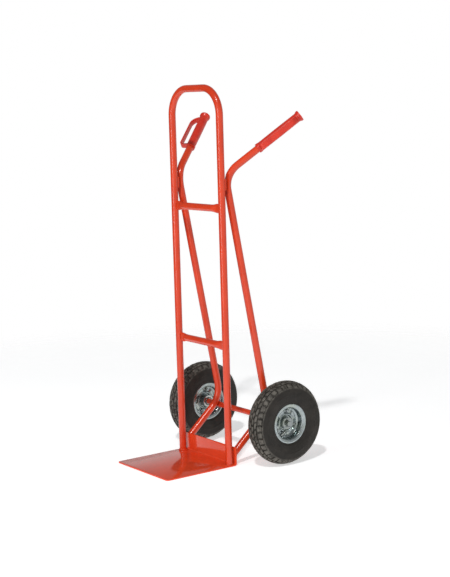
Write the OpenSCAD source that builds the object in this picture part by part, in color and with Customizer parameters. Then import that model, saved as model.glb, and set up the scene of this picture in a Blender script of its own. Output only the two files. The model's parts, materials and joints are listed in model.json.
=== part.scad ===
// Hand truck with a hooped tube frame, a folded toe plate and two air-filled wheels.
// Millimetres, +Z up, +X to the truck's right, -Y towards the toe plate's front edge.
// The origin is on the floor, in the middle of the whole truck's footprint.

/* [Front frame] */
// Distance between the two uprights, centre to centre
rail_spacing = 252; // [240:1:265]
// Outer diameter of every frame tube
tube_d = 22.2; // [21:0.1:23]
// Wall thickness of the frame tubes
tube_wall = 1.8; // [1.2:0.1:2.5]
// Height of the hoop's top bar, at its centre
hoop_h = 1158; // [1120:1:1200]
// Centre-line radius of the hoop's two top bends
hoop_bend_r = 82; // [70:1:95]
// Height of the upper crossbar, at its centre
upper_bar_h = 796; // [740:1:815]
// Height of the lower crossbar, at its centre
lower_bar_h = 376; // [340:1:420]
// Height of a crossbar's flattened end
bar_end_h = 29; // [27:0.5:31]
// Thickness of a crossbar's flattened end
bar_end_t = 10; // [8:0.5:12]

/* [Toe plate] */
// Width of the toe plate
toe_w = 282; // [275:1:292]
// How far the toe plate reaches in front of the uprights
toe_reach = 240; // [200:1:260]
// Thickness of the folded plate
plate_t = 4; // [3:0.5:5]
// Height of the plate's upstand
upstand_h = 58; // [56:1:62]
// Distance from the uprights' centre back to the rear face of the upstand
upstand_back = 19.4; // [19:0.2:20]
// Radius of the two front corners
toe_corner_r = 12; // [5:1:20]

/* [Rear tubes and handles] */
// Lean of the rear tubes' long straight leg, from the vertical
rear_lean = 10.6; // [10.4:0.1:10.8]
// Angle of the short lower leg, from the vertical
foot_lean = 48.5; // [47:0.5:50]
// Centre-line radius of the bend at the axle
foot_bend_r = 85; // [82:1:88]
// Where the axle sits on that bend, below the level
axle_seat = 33; // [30:1:36]
// Height of the corner between the long leg and the handle
handle_h = 898; // [885:1:905]
// Centre-line radius of the bend into the handle
handle_bend_r = 76; // [70:1:80]
// Outward splay of the handles
handle_splay = 31.5; // [28:0.5:34]
// Rise of the handles above the level
handle_rise = 36.5; // [33:0.5:40]
// Distance from the handle's corner to the grip's inner end
grip_start = 125; // [120:1:135]

/* [Grips] */
// Length of a grip
grip_l = 162; // [155:1:170]
// Diameter of the grip's body
grip_d = 28; // [27:0.5:30]
// Distance from the grip's centre to the middle of the knuckle guard
guard_reach = 37; // [35:0.5:40]
// Width of the knuckle guard's strap
guard_w = 18; // [15:1:20]
// Thickness of the knuckle guard's strap
guard_t = 4; // [3.5:0.5:4.5]

/* [Wheels] */
// Outer diameter of a tyre
wheel_d = 260; // [256:1:264]
// Distance between the two wheels' middle planes
track = 432; // [428:1:445]
// Distance from the uprights' centre back to the axle
axle_back = 150; // [148:1:152]
// Width of a tyre at its widest
tyre_w = 73; // [70:1:78]
// Number of bolts that hold the two rim halves together
rim_bolts = 4; // [3:1:6]

/* [Axle and bearings] */
// Diameter of the axle between the wheels
axle_d = 18; // [17:0.5:19]
// Diameter of the axle's journals
journal_d = 16; // [15:0.5:16.5]
// Number of balls in each bearing
ball_count = 10; // [7:1:11]

/* [Hidden] */
$fn = 64;

tube_r = tube_d / 2;
bore_r = tube_r - tube_wall;
wheel_r = wheel_d / 2;
axle_r = axle_d / 2;
journal_r = journal_d / 2;
half_rails = rail_spacing / 2;
// The uprights' plane, placed so that the footprint is centred on the origin
rail_y = (toe_reach - axle_back - wheel_r) / 2;
axle_y = rail_y + axle_back;
upstand_y = rail_y + upstand_back;
fold_r = plate_t;
// How far a cutting shape runs past what it cuts
cut = 1;
// How far a tube's straight legs lap into its bends, and how much fuller the bends are
bend_lap = 1;
bend_swell = 0.06;

// Rear tube: the axle bar lies against the outside of its lower bend
foot_centre_d = foot_bend_r + tube_r + axle_r;
foot_c = [axle_y - foot_centre_d * cos(axle_seat), wheel_r + foot_centre_d * sin(axle_seat)];
foot_tan = foot_bend_r * tan((rear_lean + foot_lean) / 2);
foot_top = [foot_c[0] + foot_bend_r * cos(rear_lean), foot_c[1] + foot_bend_r * sin(rear_lean)];
foot_corner = [half_rails, foot_top[0] + foot_tan * sin(rear_lean), foot_top[1] - foot_tan * cos(rear_lean)];
foot_end_l = (foot_corner[1] - upstand_y) / sin(foot_lean) + tube_d;
foot_end = foot_corner - foot_end_l * [0, sin(foot_lean), cos(foot_lean)];
handle_corner = [half_rails, foot_top[0] - (handle_h - foot_top[1]) * tan(rear_lean), handle_h];
handle_dir = [
    sin(handle_splay) * cos(handle_rise),
    cos(handle_splay) * cos(handle_rise),
    sin(handle_rise)
];
// Closed end of the grip's sleeve
grip_end_wall = 4;
handle_end = handle_corner + (grip_start + grip_l - grip_end_wall) * handle_dir;

// Wheel, along its own axis: 0 is its middle plane and + is the outer side
hub_in = -28;
hub_out = 14;
hub_r = 20;
rim_t = 2;
seat_r = 50.8;
lip_r = 61.5;
lip_x = 29.5;
bead_gap = 0.4;
tyre_wall = 5;
tube_t = 2;
half_tyre = tyre_w / 2;
bolt_circle_r = 37;
first_bolt = 164;
bolt_r = 3;
nut_h = 5;

// Bearings, and what holds a wheel on the axle
bearing_w = 11;
race_r = 17.5;
pitch_r = 12.8;
ball_r = 2.4;
race_gap = 0.05;
journal_gap = 0.02;
washer_t = 2;
washer_gap = 0.4;
pin_r = 1.6;
axle_shoulder = track / 2 + hub_in - washer_t;
journal_end = track / 2 + hub_out + 12;
pin_x = track / 2 + hub_out + washer_t + 4;

// Unit vector along v
function unit(v) = v / norm(v);

// Points on an arc about c, from angle a0 to a1 in n steps
function arc(c, r, a0, a1, n) = [
    for (i = [0:n]) let (a = a0 + (a1 - a0) * i / n) [c[0] + r * cos(a), c[1] + r * sin(a)]
];

// Round bar from point a to point b
module rod(a, b, r) {
    v = b - a;
    l = norm(v);
    translate(a)
        rotate([0, acos(v[2] / l), atan2(v[1], v[0])])
            cylinder(h = l, r = r);
}

// Tangent length and centre of the bend at corner p between the points a and b
function turn(a, p, b) = acos(unit(p - a) * unit(b - p));
function tangent(a, p, b, bend_r) = bend_r * tan(turn(a, p, b) / 2);
function bend_centre(a, p, b, bend_r) =
    p + unit(unit(b - p) - unit(p - a)) * bend_r / cos(turn(a, p, b) / 2);

// Quarter-round or other bend of a bar of radius r at corner p
module bend(a, p, b, bend_r, r) {
    u = unit(p - a);
    c = bend_centre(a, p, b, bend_r);
    e = unit(p - u * tangent(a, p, b, bend_r) - c);
    n = cross(e, u);
    multmatrix([
        [e[0], u[0], n[0], c[0]],
        [e[1], u[1], n[1], c[1]],
        [e[2], u[2], n[2], c[2]]
    ])
        rotate_extrude(angle = turn(a, p, b))
            translate([bend_r, 0])
                circle(r = r);
}

// Solid bar with two bends, through the points a, p, q and b; each leg laps into its bends,
// which are a hair fuller than the legs
module bent_bar(a, p, q, b, bend_p, bend_q, r) {
    tp = tangent(a, p, q, bend_p) - bend_lap;
    tq = tangent(p, q, b, bend_q) - bend_lap;
    rod(a, p - unit(p - a) * tp, r);
    bend(a, p, q, bend_p, r + bend_swell);
    rod(p + unit(q - p) * tp, q - unit(q - p) * tq, r);
    bend(p, q, b, bend_q, r + bend_swell);
    rod(q + unit(b - q) * tq, b, r);
}

// The right-hand children, or their mirror image on the left
module sided(side) {
    if (side == "right") children();
    else mirror([1, 0, 0]) children();
}

// Moves from the wheel's own frame, with +Z outwards, to the right-hand wheel
module at_wheel() {
    translate([track / 2, axle_y, wheel_r])
        rotate([0, 90, 0])
            children();
}

// Moves from the handle's own frame, +Z along it and +X to the guard, to the right-hand handle
module at_handle() {
    translate(handle_corner)
        rotate([handle_rise - 90, 0, -handle_splay])
            children();
}

// Flat-sided ring of radius r1 to r2, from z0 to z1
module ring(r1, r2, z0, z1) {
    translate([0, 0, z0])
        difference() {
            cylinder(h = z1 - z0, r = r2);
            translate([0, 0, -cut]) cylinder(h = z1 - z0 + 2 * cut, r = r1);
        }
}

// Everything on the right, low down and in front of the upstand's rear face
module before_upstand() {
    block = 150;
    translate([0, upstand_y - block, -block]) cube([block, block, 2 * block]);
}

// Short weld bead along Z, with round ends
module bead(r, l) {
    cylinder(h = l, r = r, center = true, $fn = 24);
    for (e = [-1, 1]) translate([0, 0, e * l / 2]) sphere(r = r, $fn = 24);
}

// Outline with two semicircular ends, h tall and w wide
module slot_shape(w, h) {
    square([w, h - w], center = true);
    for (s = [-1, 1]) translate([0, s * (h - w) / 2]) circle(d = w);
}

// The hooped front frame: one bent tube that stands on the toe plate
module front_frame() {
    foot_l = [-half_rails, rail_y, plate_t];
    foot_r = [half_rails, rail_y, plate_t];
    top_l = [-half_rails, rail_y, hoop_h];
    top_r = [half_rails, rail_y, hoop_h];
    below = [0, 0, -cut];
    color("orangered")
        difference() {
            bent_bar(foot_l, top_l, top_r, foot_r, hoop_bend_r, hoop_bend_r, tube_r);
            bent_bar(foot_l + below, top_l, top_r, foot_r + below, hoop_bend_r, hoop_bend_r, bore_r);
        }
}

// Length of a crossbar's round middle, of its flattened ends, and of the taper between them
bar_flat_l = 14;
bar_taper_l = 20;

// The round middle of a crossbar, and the flattened ends that meet the uprights
module crossbar(h) {
    mid = half_rails - bar_flat_l - bar_taper_l;
    slice = 0.01;
    color("orangered")
        translate([0, rail_y, h])
            difference() {
                union() {
                    rotate([0, 90, 0]) cylinder(h = 2 * mid, r = tube_r, center = true);
                    for (s = [0, 1]) mirror([s, 0, 0]) {
                        translate([half_rails - bar_flat_l, 0, 0])
                            rotate([90, 0, 90])
                                linear_extrude(bar_flat_l) slot_shape(bar_end_t, bar_end_h);
                        hull() {
                            translate([mid - slice, 0, 0])
                                rotate([90, 0, 90])
                                    linear_extrude(slice) circle(r = tube_r, $fn = 32);
                            translate([half_rails - bar_flat_l, 0, 0])
                                rotate([90, 0, 90])
                                    linear_extrude(slice) slot_shape(bar_end_t, bar_end_h, $fn = 32);
                        }
                    }
                }
                rotate([0, 90, 0]) cylinder(h = 2 * mid, r = bore_r, center = true);
                for (s = [-1, 1])
                    translate([s * half_rails, 0, -bar_end_h])
                        cylinder(h = 2 * bar_end_h, r = tube_r);
            }
}

// Toe plate: folded from one sheet, with its upstand behind the uprights
module toe_plate() {
    front_y = rail_y - toe_reach;
    profile = concat(
        [[front_y, 0]],
        arc([upstand_y - fold_r - plate_t, fold_r + plate_t], fold_r + plate_t, -90, 0, 12),
        [[upstand_y, upstand_h], [upstand_y - plate_t, upstand_h]],
        arc([upstand_y - plate_t - fold_r, fold_r + plate_t], fold_r, 0, -90, 12),
        [[front_y, plate_t]]
    );
    color("orangered")
        difference() {
            translate([-toe_w / 2, 0, 0])
                rotate([90, 0, 90])
                    linear_extrude(toe_w) polygon(profile);
            for (s = [0, 1]) mirror([s, 0, 0])
                translate([toe_w / 2, front_y, 0])
                    difference() {
                        translate([-toe_corner_r, -cut, -cut])
                            cube([toe_corner_r + cut, toe_corner_r + cut, plate_t + 2 * cut]);
                        translate([-toe_corner_r, toe_corner_r, -2 * cut])
                            cylinder(h = plate_t + 4 * cut, r = toe_corner_r);
                    }
        }
}

// Rear tube: from the upstand round the axle, up to the upright and out to the handle
module rear_tube(side) {
    color("orangered")
        sided(side)
            difference() {
                bent_bar(foot_end, foot_corner, handle_corner, handle_end,
                    foot_bend_r, handle_bend_r, tube_r);
                bent_bar(foot_end, foot_corner, handle_corner, handle_end + handle_dir,
                    foot_bend_r, handle_bend_r, bore_r);
                before_upstand();
            }
}

// Axle bar with a turned journal, a shoulder and a pin hole at each end
module axle() {
    chamfer = 1;
    pin_gap = 0.2;
    color("orangered")
        translate([0, axle_y, wheel_r])
            for (s = [0, 1]) mirror([s, 0, 0])
                difference() {
                    rotate([0, 90, 0]) {
                        cylinder(h = axle_shoulder, r = axle_r);
                        cylinder(h = journal_end - chamfer, r = journal_r);
                        translate([0, 0, journal_end - chamfer])
                            cylinder(h = chamfer, r1 = journal_r, r2 = journal_r - chamfer);
                    }
                    translate([pin_x, 0, -axle_d]) cylinder(h = 2 * axle_d, r = pin_r + pin_gap);
                }
}

// Split pins: each has a shank, an eye above the journal and two legs spread below it
module split_pins() {
    eye_r = 3.5;
    wire_r = pin_r * 0.8;
    stand_out = 2;
    leg_out = 7;
    leg_drop = 5;
    color("silver")
        for (s = [0, 1]) mirror([s, 0, 0])
            translate([pin_x, axle_y, wheel_r]) {
                cylinder(h = 2 * (journal_r + stand_out), r = pin_r, center = true);
                translate([0, 0, journal_r + stand_out + eye_r])
                    rotate([0, 90, 0])
                        rotate_extrude() translate([eye_r, 0]) circle(r = wire_r, $fn = 24);
                for (t = [-1, 1])
                    rod([0, 0, -journal_r - stand_out / 2], [0, t * leg_out, -journal_r - leg_drop], wire_r);
            }
}

// Weld fillets where the uprights stand on the toe plate
module rail_foot_welds() {
    leg = 3;
    toe = 0.4;
    color("firebrick")
        for (s = [-1, 1])
            translate([s * half_rails, rail_y, plate_t])
                difference() {
                    cylinder(h = leg, r1 = tube_r + leg, r2 = tube_r + toe);
                    translate([0, 0, -cut]) cylinder(h = leg + 2 * cut, r = tube_r);
                    translate([-tube_d, upstand_back - plate_t - fold_r, -cut])
                        cube([2 * tube_d, tube_d, leg + 2 * cut]);
                }
}

// Weld beads round the crossbars' flattened ends, against the uprights
module crossbar_welds() {
    leg = 2.5;
    color("firebrick")
        for (h = [upper_bar_h, lower_bar_h], s = [0, 1])
            mirror([s, 0, 0])
                translate([half_rails, rail_y, h])
                    difference() {
                        intersection() {
                            translate([0, 0, -bar_end_h]) cylinder(h = 2 * bar_end_h, r = tube_r + leg);
                            translate([-tube_d, 0, 0])
                                rotate([90, 0, 90])
                                    linear_extrude(tube_d)
                                        slot_shape(bar_end_t + 2 * leg, bar_end_h + 2 * leg);
                        }
                        translate([0, 0, -bar_end_h]) cylinder(h = 2 * bar_end_h, r = tube_r);
                        translate([-tube_d - cut, 0, 0])
                            rotate([90, 0, 90])
                                linear_extrude(tube_d + 2 * cut) slot_shape(bar_end_t, bar_end_h);
                    }
}

// Weld collars where the rear tubes meet the upstand, and beads beside their contact with the uprights
module rear_tube_welds() {
    leg = 3;
    bead_r = 3;
    bead_l = 34;
    contact_h = handle_h - 30;
    bead_side = 6.6;
    color("firebrick")
        for (side = ["left", "right"]) sided(side) {
            intersection() {
                translate([0, upstand_y, 0]) cube([2 * half_rails, leg, upstand_h]);
                difference() {
                    rod(foot_end, foot_corner, tube_r + leg);
                    rod(foot_end, foot_corner, tube_r);
                }
            }
            for (t = [-1, 1])
                translate([half_rails + t * bead_side, rail_y + tube_r, contact_h]) bead(bead_r, bead_l);
        }
}

// Weld beads on both sides of each rear tube, along the axle
module axle_welds() {
    bead_r = 2.4;
    bead_l = 13;
    bead_in = 1.6;
    bead_side = 6.6;
    seat = [
        half_rails,
        axle_y - axle_r * cos(axle_seat),
        wheel_r + axle_r * sin(axle_seat)
    ];
    color("firebrick")
        for (m = [0, 1]) mirror([m, 0, 0])
            for (t = [-1, 1])
                translate(seat)
                    rotate([-axle_seat, 0, 0])
                        translate([0, bead_in, t * bead_side])
                            rotate([0, 90, 0])
                                bead(bead_r, bead_l);
}

// Outline of the knuckle guard's loop, grown or shrunk by g; x runs from the grip, y along it
module guard_outline(g) {
    low = 8;
    high = grip_l - 14;
    low_r = 12;
    high_r = 30;
    outer = guard_reach + guard_t / 2;
    polygon(concat(
        [[0, low + g]],
        arc([outer - low_r, low + low_r], low_r - g, -90, 0, 10),
        arc([outer - high_r, high - high_r], high_r - g, 0, 90, 14),
        [[0, high - g]]
    ));
}

// Moulded grip: closed sleeve with an inner collar, an end flange and a knuckle guard
module grip(side) {
    collar_l = 9;
    collar_r = grip_d / 2 + 1;
    flange_r = grip_d / 2 + 3;
    flange_t = 5;
    flange_slope = 5;
    color("crimson")
        sided(side)
            at_handle()
                translate([0, 0, grip_start])
                    difference() {
                        union() {
                            cylinder(h = grip_l, r = grip_d / 2);
                            cylinder(h = collar_l, r = collar_r);
                            translate([0, 0, grip_l - flange_t]) cylinder(h = flange_t, r = flange_r);
                            translate([0, 0, grip_l - flange_t - flange_slope])
                                cylinder(h = flange_slope, r1 = grip_d / 2, r2 = flange_r);
                            rotate([90, 0, 0])
                                linear_extrude(guard_w, center = true)
                                    difference() {
                                        guard_outline(0);
                                        guard_outline(guard_t);
                                    }
                        }
                        translate([0, 0, -cut])
                            cylinder(h = grip_l - grip_end_wall + cut, r = tube_r);
                    }
}

// Outer section of the tyre: the sidewall's arc bulges most at side_c_r, and the crown's arc meets it
// at the shoulder
side_c_r = 96;
side_drop = side_c_r - lip_r - bead_gap;
side_bulge = half_tyre - lip_x + 1;
side_r = (pow(side_drop, 2) + pow(side_bulge, 2)) / (2 * side_bulge);
shoulder_r = wheel_r - 22;
shoulder_x = half_tyre - side_r + sqrt(pow(side_r, 2) - pow(shoulder_r - side_c_r, 2));
crown_r = (pow(wheel_r - shoulder_r, 2) + pow(shoulder_x, 2)) / (2 * (wheel_r - shoulder_r));

// One half of the tyre's section, from the bead to the crown, moved inwards by depth
function half_section(depth, from_r, n) =
    let (sc = [side_c_r, half_tyre - side_r])
    let (cc = [wheel_r - crown_r, 0])
    let (rs = side_r - depth)
    let (rc = crown_r - depth)
    let (a0 = 180 - acos((side_c_r - from_r) / rs))
    let (d = norm(cc - sc))
    let (toward = atan2(cc[1] - sc[1], cc[0] - sc[0]))
    let (a1 = toward - acos((rs * rs + d * d - rc * rc) / (2 * rs * d)))
    let (meet = sc + rs * [cos(a1), sin(a1)])
    let (b0 = atan2(meet[1] - cc[1], meet[0] - cc[0]))
    concat(arc(sc, rs, a0, a1, n), arc(cc, rc, b0, 0, n));

// The same points reflected to the inner side, in reverse order
function reflected(pts) = [for (i = [len(pts) - 1:-1:0]) [pts[i][0], -pts[i][1]]];

// Tyre: round section, hollow, with beads inside the rim's lips
module tyre(side) {
    bead_x = 24.6;
    toe_x = 17;
    heel_rise = 2.3;
    seat_gap = 0.2;
    slice = 0.01;
    outer = concat(
        [[seat_r + seat_gap, toe_x], [seat_r + seat_gap, bead_x], [lip_r + bead_gap, bead_x + heel_rise]],
        half_section(0, lip_r + bead_gap, 9)
    );
    inner = concat(
        [[seat_r + 4, toe_x]],
        half_section(tyre_wall, seat_r + 14, 8)
    );
    color("dimgray")
        sided(side) at_wheel()
            rotate_extrude($fn = 96)
                difference() {
                    polygon(concat(outer, reflected(outer)));
                    polygon(concat([[seat_r - tyre_wall, toe_x + slice]], inner, reflected(inner),
                        [[seat_r - tyre_wall, -toe_x - slice]]));
                }
}

// Inner tube: fills the tyre, and is hollow itself
module inner_tube(side) {
    toe_x = 16;
    floor_r = seat_r + 1;
    flat_r = seat_r + 5;
    depth = tyre_wall + 0.5;
    skin = concat(
        [[floor_r, toe_x], [flat_r, toe_x]],
        half_section(depth, seat_r + 15, 8)
    );
    hollow = concat(
        [[floor_r + tube_t, toe_x - tube_t], [flat_r, toe_x - tube_t]],
        half_section(depth + tube_t, seat_r + 16, 8)
    );
    color("black")
        sided(side) at_wheel()
            difference() {
                rotate_extrude($fn = 96)
                    difference() {
                        polygon(concat(skin, reflected(skin)));
                        polygon(concat(hollow, reflected(hollow)));
                    }
                valve_line(valve_r + valve_gap);
            }
}

// The line of the valve: it leaves the tube at the rim's well and leans outwards
valve_angle = -40;
valve_from = [seat_r + 4, 9];
valve_to = [34, 24];
cap_l = 6;
valve_tip = valve_to + cap_l * unit(valve_to - valve_from);
valve_r = 4.2;
valve_gap = 0.4;
module valve_line(r) {
    rotate([0, 0, valve_angle])
        rod([valve_from[0], 0, valve_from[1]], [valve_to[0], 0, valve_to[1]], r);
}

// Valve: plated metal stem
module valve(side) {
    color("silver")
        sided(side) at_wheel()
            valve_line(valve_r);
}

// Valve cap on the stem's end
module valve_cap(side) {
    cap_r = 4.8;
    color("silver")
        sided(side) at_wheel()
            rotate([0, 0, valve_angle])
                rod([valve_to[0], 0, valve_to[1]], [valve_tip[0], 0, valve_tip[1]], cap_r);
}

// Rim half: one pressed disc with its bead seat, flange and rolled lip
module rim_half() {
    boss_r = 27;
    flat_r = 31;
    web_r = 43;
    boss_x = 8;
    hole_gap = 0.3;
    front = [
        [hub_r, boss_x], [boss_r, boss_x], [flat_r, rim_t], [web_r, rim_t],
        [seat_r - rim_t, 7], [seat_r - rim_t, 24], [seat_r, 26.6], [lip_r - 2, lip_x], [lip_r, lip_x]
    ];
    back = [
        [lip_r, lip_x - 1.4], [lip_r - 1.4, lip_x - rim_t - 0.4], [seat_r, 24.8], [seat_r, 5.6],
        [web_r + 1.2, 0], [flat_r - 1, 0], [boss_r - 1, boss_x - rim_t],
        [hub_r, boss_x - rim_t]
    ];
    difference() {
        rotate_extrude($fn = 96) polygon(concat(front, back));
        bolt_places() translate([0, 0, -cut]) cylinder(h = rim_t + 2 * cut, r = bolt_r + hole_gap);
    }
}

// Repeats its children round the rim's bolt circle
module bolt_places() {
    for (i = [0:rim_bolts - 1])
        rotate([0, 0, first_bolt + i * 360 / rim_bolts])
            translate([bolt_circle_r, 0, 0])
                children();
}

module outer_rim(side) {
    color("lightgray")
        sided(side) at_wheel()
            difference() {
                rim_half();
                valve_line(valve_r + valve_gap);
            }
}

module inner_rim(side) {
    color("lightgray")
        sided(side) at_wheel()
            mirror([0, 0, 1]) rim_half();
}

// Hub tube with a bearing seat in each end
module hub(side) {
    shoulder_t = 1.5;
    color("silver")
        sided(side) at_wheel()
            difference() {
                translate([0, 0, hub_in]) cylinder(h = hub_out - hub_in, r = hub_r);
                translate([0, 0, hub_in - cut])
                    cylinder(h = hub_out - hub_in + 2 * cut, r = race_r - shoulder_t);
                translate([0, 0, hub_in - cut]) cylinder(h = bearing_w + cut, r = race_r);
                translate([0, 0, hub_out - bearing_w]) cylinder(h = bearing_w + cut, r = race_r);
            }
}

// Middle planes of the two bearings
bearing_mids = [hub_in + bearing_w / 2, hub_out - bearing_w / 2];

// Outer races: grooved rings in the hub's seats
land = 1.3;
module outer_races(side) {
    color("silver")
        sided(side) at_wheel()
            for (z = bearing_mids) translate([0, 0, z])
                difference() {
                    ring(pitch_r + land, race_r, -bearing_w / 2, bearing_w / 2);
                    rotate_extrude() translate([pitch_r, 0]) circle(r = ball_r, $fn = 32);
                }
}

// Inner races: grooved rings on the axle's journals
module inner_races(side) {
    color("silver")
        sided(side) at_wheel()
            for (z = bearing_mids) translate([0, 0, z])
                difference() {
                    ring(journal_r + journal_gap, pitch_r - land, -bearing_w / 2, bearing_w / 2);
                    rotate_extrude() translate([pitch_r, 0]) circle(r = ball_r + race_gap, $fn = 32);
                }
}

// Balls of both bearings
module balls(side) {
    color("whitesmoke")
        sided(side) at_wheel()
            for (z = bearing_mids, i = [0:ball_count - 1])
                rotate([0, 0, i * 360 / ball_count])
                    translate([pitch_r, 0, z])
                        sphere(r = ball_r, $fn = 32);
}

// Spacer sleeve between the two inner races
module bearing_spacer(side) {
    sleeve_t = 2;
    color("silver")
        sided(side) at_wheel()
            ring(journal_r + journal_gap, journal_r + sleeve_t, hub_in + bearing_w, hub_out - bearing_w);
}

// Hexagon-headed bolts through the rim's webs; hex_r is the corner radius of their heads and nuts
hex_r = 5.8;
module rim_bolts(side) {
    head_h = 4;
    past_nut = 2.5;
    shank_l = 2 * rim_t + nut_h + past_nut;
    color("silver")
        sided(side) at_wheel()
            bolt_places() {
                translate([0, 0, rim_t]) cylinder(h = head_h, r = hex_r, $fn = 6);
                translate([0, 0, rim_t - shank_l]) cylinder(h = shank_l, r = bolt_r);
            }
}

// Hexagon nuts on the inner side of the rim
module rim_nuts(side) {
    color("silver")
        sided(side) at_wheel()
            bolt_places()
                translate([0, 0, -rim_t - nut_h])
                    difference() {
                        cylinder(h = nut_h, r = hex_r, $fn = 6);
                        translate([0, 0, -cut]) cylinder(h = nut_h + 2 * cut, r = bolt_r);
                    }
}

// Thrust washers: a small one inside each wheel and a large one outside it
module axle_washers() {
    hole_r = journal_r + 0.1;
    small_r = pitch_r - land - 0.2;
    large_r = hub_r - 1;
    outer_z = hub_out + washer_gap;
    color("silver")
        for (side = ["left", "right"]) sided(side) at_wheel() {
            ring(hole_r, small_r, hub_in - washer_t, hub_in);
            ring(hole_r, large_r, outer_z, outer_z + washer_t);
        }
}

front_frame();
crossbar(upper_bar_h);  // upper_crossbar
crossbar(lower_bar_h);  // lower_crossbar
toe_plate();
rear_tube("left");  // left_rear_tube
rear_tube("right");  // right_rear_tube
axle();
rail_foot_welds();
crossbar_welds();
rear_tube_welds();
axle_welds();
grip("left");  // left_grip
grip("right");  // right_grip
axle_washers();
split_pins();
inner_races("left");  // left_inner_races
inner_races("right");  // right_inner_races
bearing_spacer("left");  // left_bearing_spacer
bearing_spacer("right");  // right_bearing_spacer
tyre("left");  // left_tyre
tyre("right");  // right_tyre
inner_tube("left");  // left_inner_tube
inner_tube("right");  // right_inner_tube
valve("left");  // left_valve
valve("right");  // right_valve
valve_cap("left");  // left_valve_cap
valve_cap("right");  // right_valve_cap
outer_rim("left");  // left_outer_rim
outer_rim("right");  // right_outer_rim
inner_rim("left");  // left_inner_rim
inner_rim("right");  // right_inner_rim
hub("left");  // left_hub
hub("right");  // right_hub
outer_races("left");  // left_outer_races
outer_races("right");  // right_outer_races
balls("left");  // left_balls
balls("right");  // right_balls
rim_bolts("left");  // left_rim_bolts
rim_bolts("right");  // right_rim_bolts
rim_nuts("left");  // left_rim_nuts
rim_nuts("right");  // right_rim_nuts
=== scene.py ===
"""Looks of a hooped hand truck with guarded grips and two air-filled wheels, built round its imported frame."""

import json
import logging
import math
from collections.abc import Iterable, Sequence
from dataclasses import dataclass, field
from enum import Enum

import bmesh
import bpy
from mathutils import Matrix, Quaternion, Vector


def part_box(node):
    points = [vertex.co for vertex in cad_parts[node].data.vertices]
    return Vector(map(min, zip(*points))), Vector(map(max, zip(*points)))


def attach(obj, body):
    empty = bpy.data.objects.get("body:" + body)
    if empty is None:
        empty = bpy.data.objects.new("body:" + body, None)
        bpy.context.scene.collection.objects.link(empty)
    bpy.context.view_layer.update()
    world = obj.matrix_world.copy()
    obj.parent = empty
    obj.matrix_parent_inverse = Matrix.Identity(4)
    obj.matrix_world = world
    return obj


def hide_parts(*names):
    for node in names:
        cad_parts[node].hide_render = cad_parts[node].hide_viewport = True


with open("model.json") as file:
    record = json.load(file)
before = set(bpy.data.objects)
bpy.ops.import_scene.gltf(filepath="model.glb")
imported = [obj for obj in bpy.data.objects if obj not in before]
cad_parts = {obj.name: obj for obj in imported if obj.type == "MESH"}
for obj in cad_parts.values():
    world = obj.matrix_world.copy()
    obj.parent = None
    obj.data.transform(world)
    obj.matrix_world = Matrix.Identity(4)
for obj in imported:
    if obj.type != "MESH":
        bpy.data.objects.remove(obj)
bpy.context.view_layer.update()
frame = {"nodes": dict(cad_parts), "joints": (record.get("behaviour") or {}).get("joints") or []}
log = logging.getLogger("hand_truck")

MM = 0.001
LEFT, RIGHT = -1.0, 1.0
SIDE_NAMES = {LEFT: "left", RIGHT: "right"}

Station = tuple[Vector, Vector]
Outline = list[tuple[float, float]]
NodeInput = bpy.types.NodeSocket | float | tuple[float, ...]


class Slot(Enum):
    """The record's material slots."""

    RED_ENAMEL = "red_enamel"
    RED_GRIP = "red_grip"
    TYRE_RUBBER = "tyre_rubber"
    TUBE_RUBBER = "tube_rubber"
    ZINC_RIM = "zinc_rim"
    ZINC_FASTENER = "zinc_fastener"
    BEARING_STEEL = "bearing_steel"


# ---------------------------------------------------------------- finishes


def linear(hex_colour: str) -> tuple[float, float, float, float]:
    """Turns an sRGB hex colour to linear RGBA.

    Args:
        hex_colour: The colour as "#RRGGBB".

    Returns:
        The linear red, green, blue and an alpha of 1.
    """
    shares = [int(hex_colour[i : i + 2], 16) / 255 for i in (1, 3, 5)]
    red, green, blue = (c / 12.92 if c <= 0.04045 else ((c + 0.055) / 1.055) ** 2.4 for c in shares)
    return red, green, blue, 1.0


def add(
    tree: bpy.types.NodeTree,
    kind: str,
    inputs: dict[str | int, NodeInput] | None = None,
    **settings: str | float | bool,
) -> bpy.types.Node:
    """Adds a node with its settings, its values and its links.

    Args:
        tree: The node tree to add to.
        kind: The node's type name.
        inputs: A value, or a socket to link from, for each input's name or number.
        **settings: The node's own properties.

    Returns:
        The new node.
    """
    made = tree.nodes.new(kind)
    for name, value in settings.items():
        setattr(made, name, value)
    for name, value in (inputs or {}).items():
        if isinstance(value, bpy.types.NodeSocket):
            tree.links.new(value, made.inputs[name])
        else:
            made.inputs[name].default_value = value
    return made


@dataclass(frozen=True)
class Finish:
    """A finish: it names its slot and dresses one material, which is made once."""

    name: str
    slot: Slot | None

    def dress(self, tree: bpy.types.NodeTree, shader: bpy.types.Node) -> None:
        """Adds this finish's nodes round the shader.

        Args:
            tree: The material's node tree.
            shader: Its Principled shader.
        """
        raise NotImplementedError

    def material(self) -> bpy.types.Material:
        """Makes the material, or returns the one already made."""
        found = bpy.data.materials.get(self.name)
        if found:
            return found
        made = bpy.data.materials.new(self.name)
        made.use_nodes = True
        tree = made.node_tree
        self.dress(tree, tree.nodes["Principled BSDF"])
        return made


def noise(
    tree: bpy.types.NodeTree, place: NodeInput, size: float, detail: float = 2.0
) -> bpy.types.NodeSocket:
    """A noise pattern's value.

    Args:
        tree: The node tree.
        place: The coordinates it reads.
        size: The size of its blotches, in metres.
        detail: How many finer layers it has.

    Returns:
        The socket of its value, from 0 to 1.
    """
    made = add(tree, "ShaderNodeTexNoise", {"Vector": place, "Scale": 1 / size, "Detail": detail})
    return made.outputs["Fac"]


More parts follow.
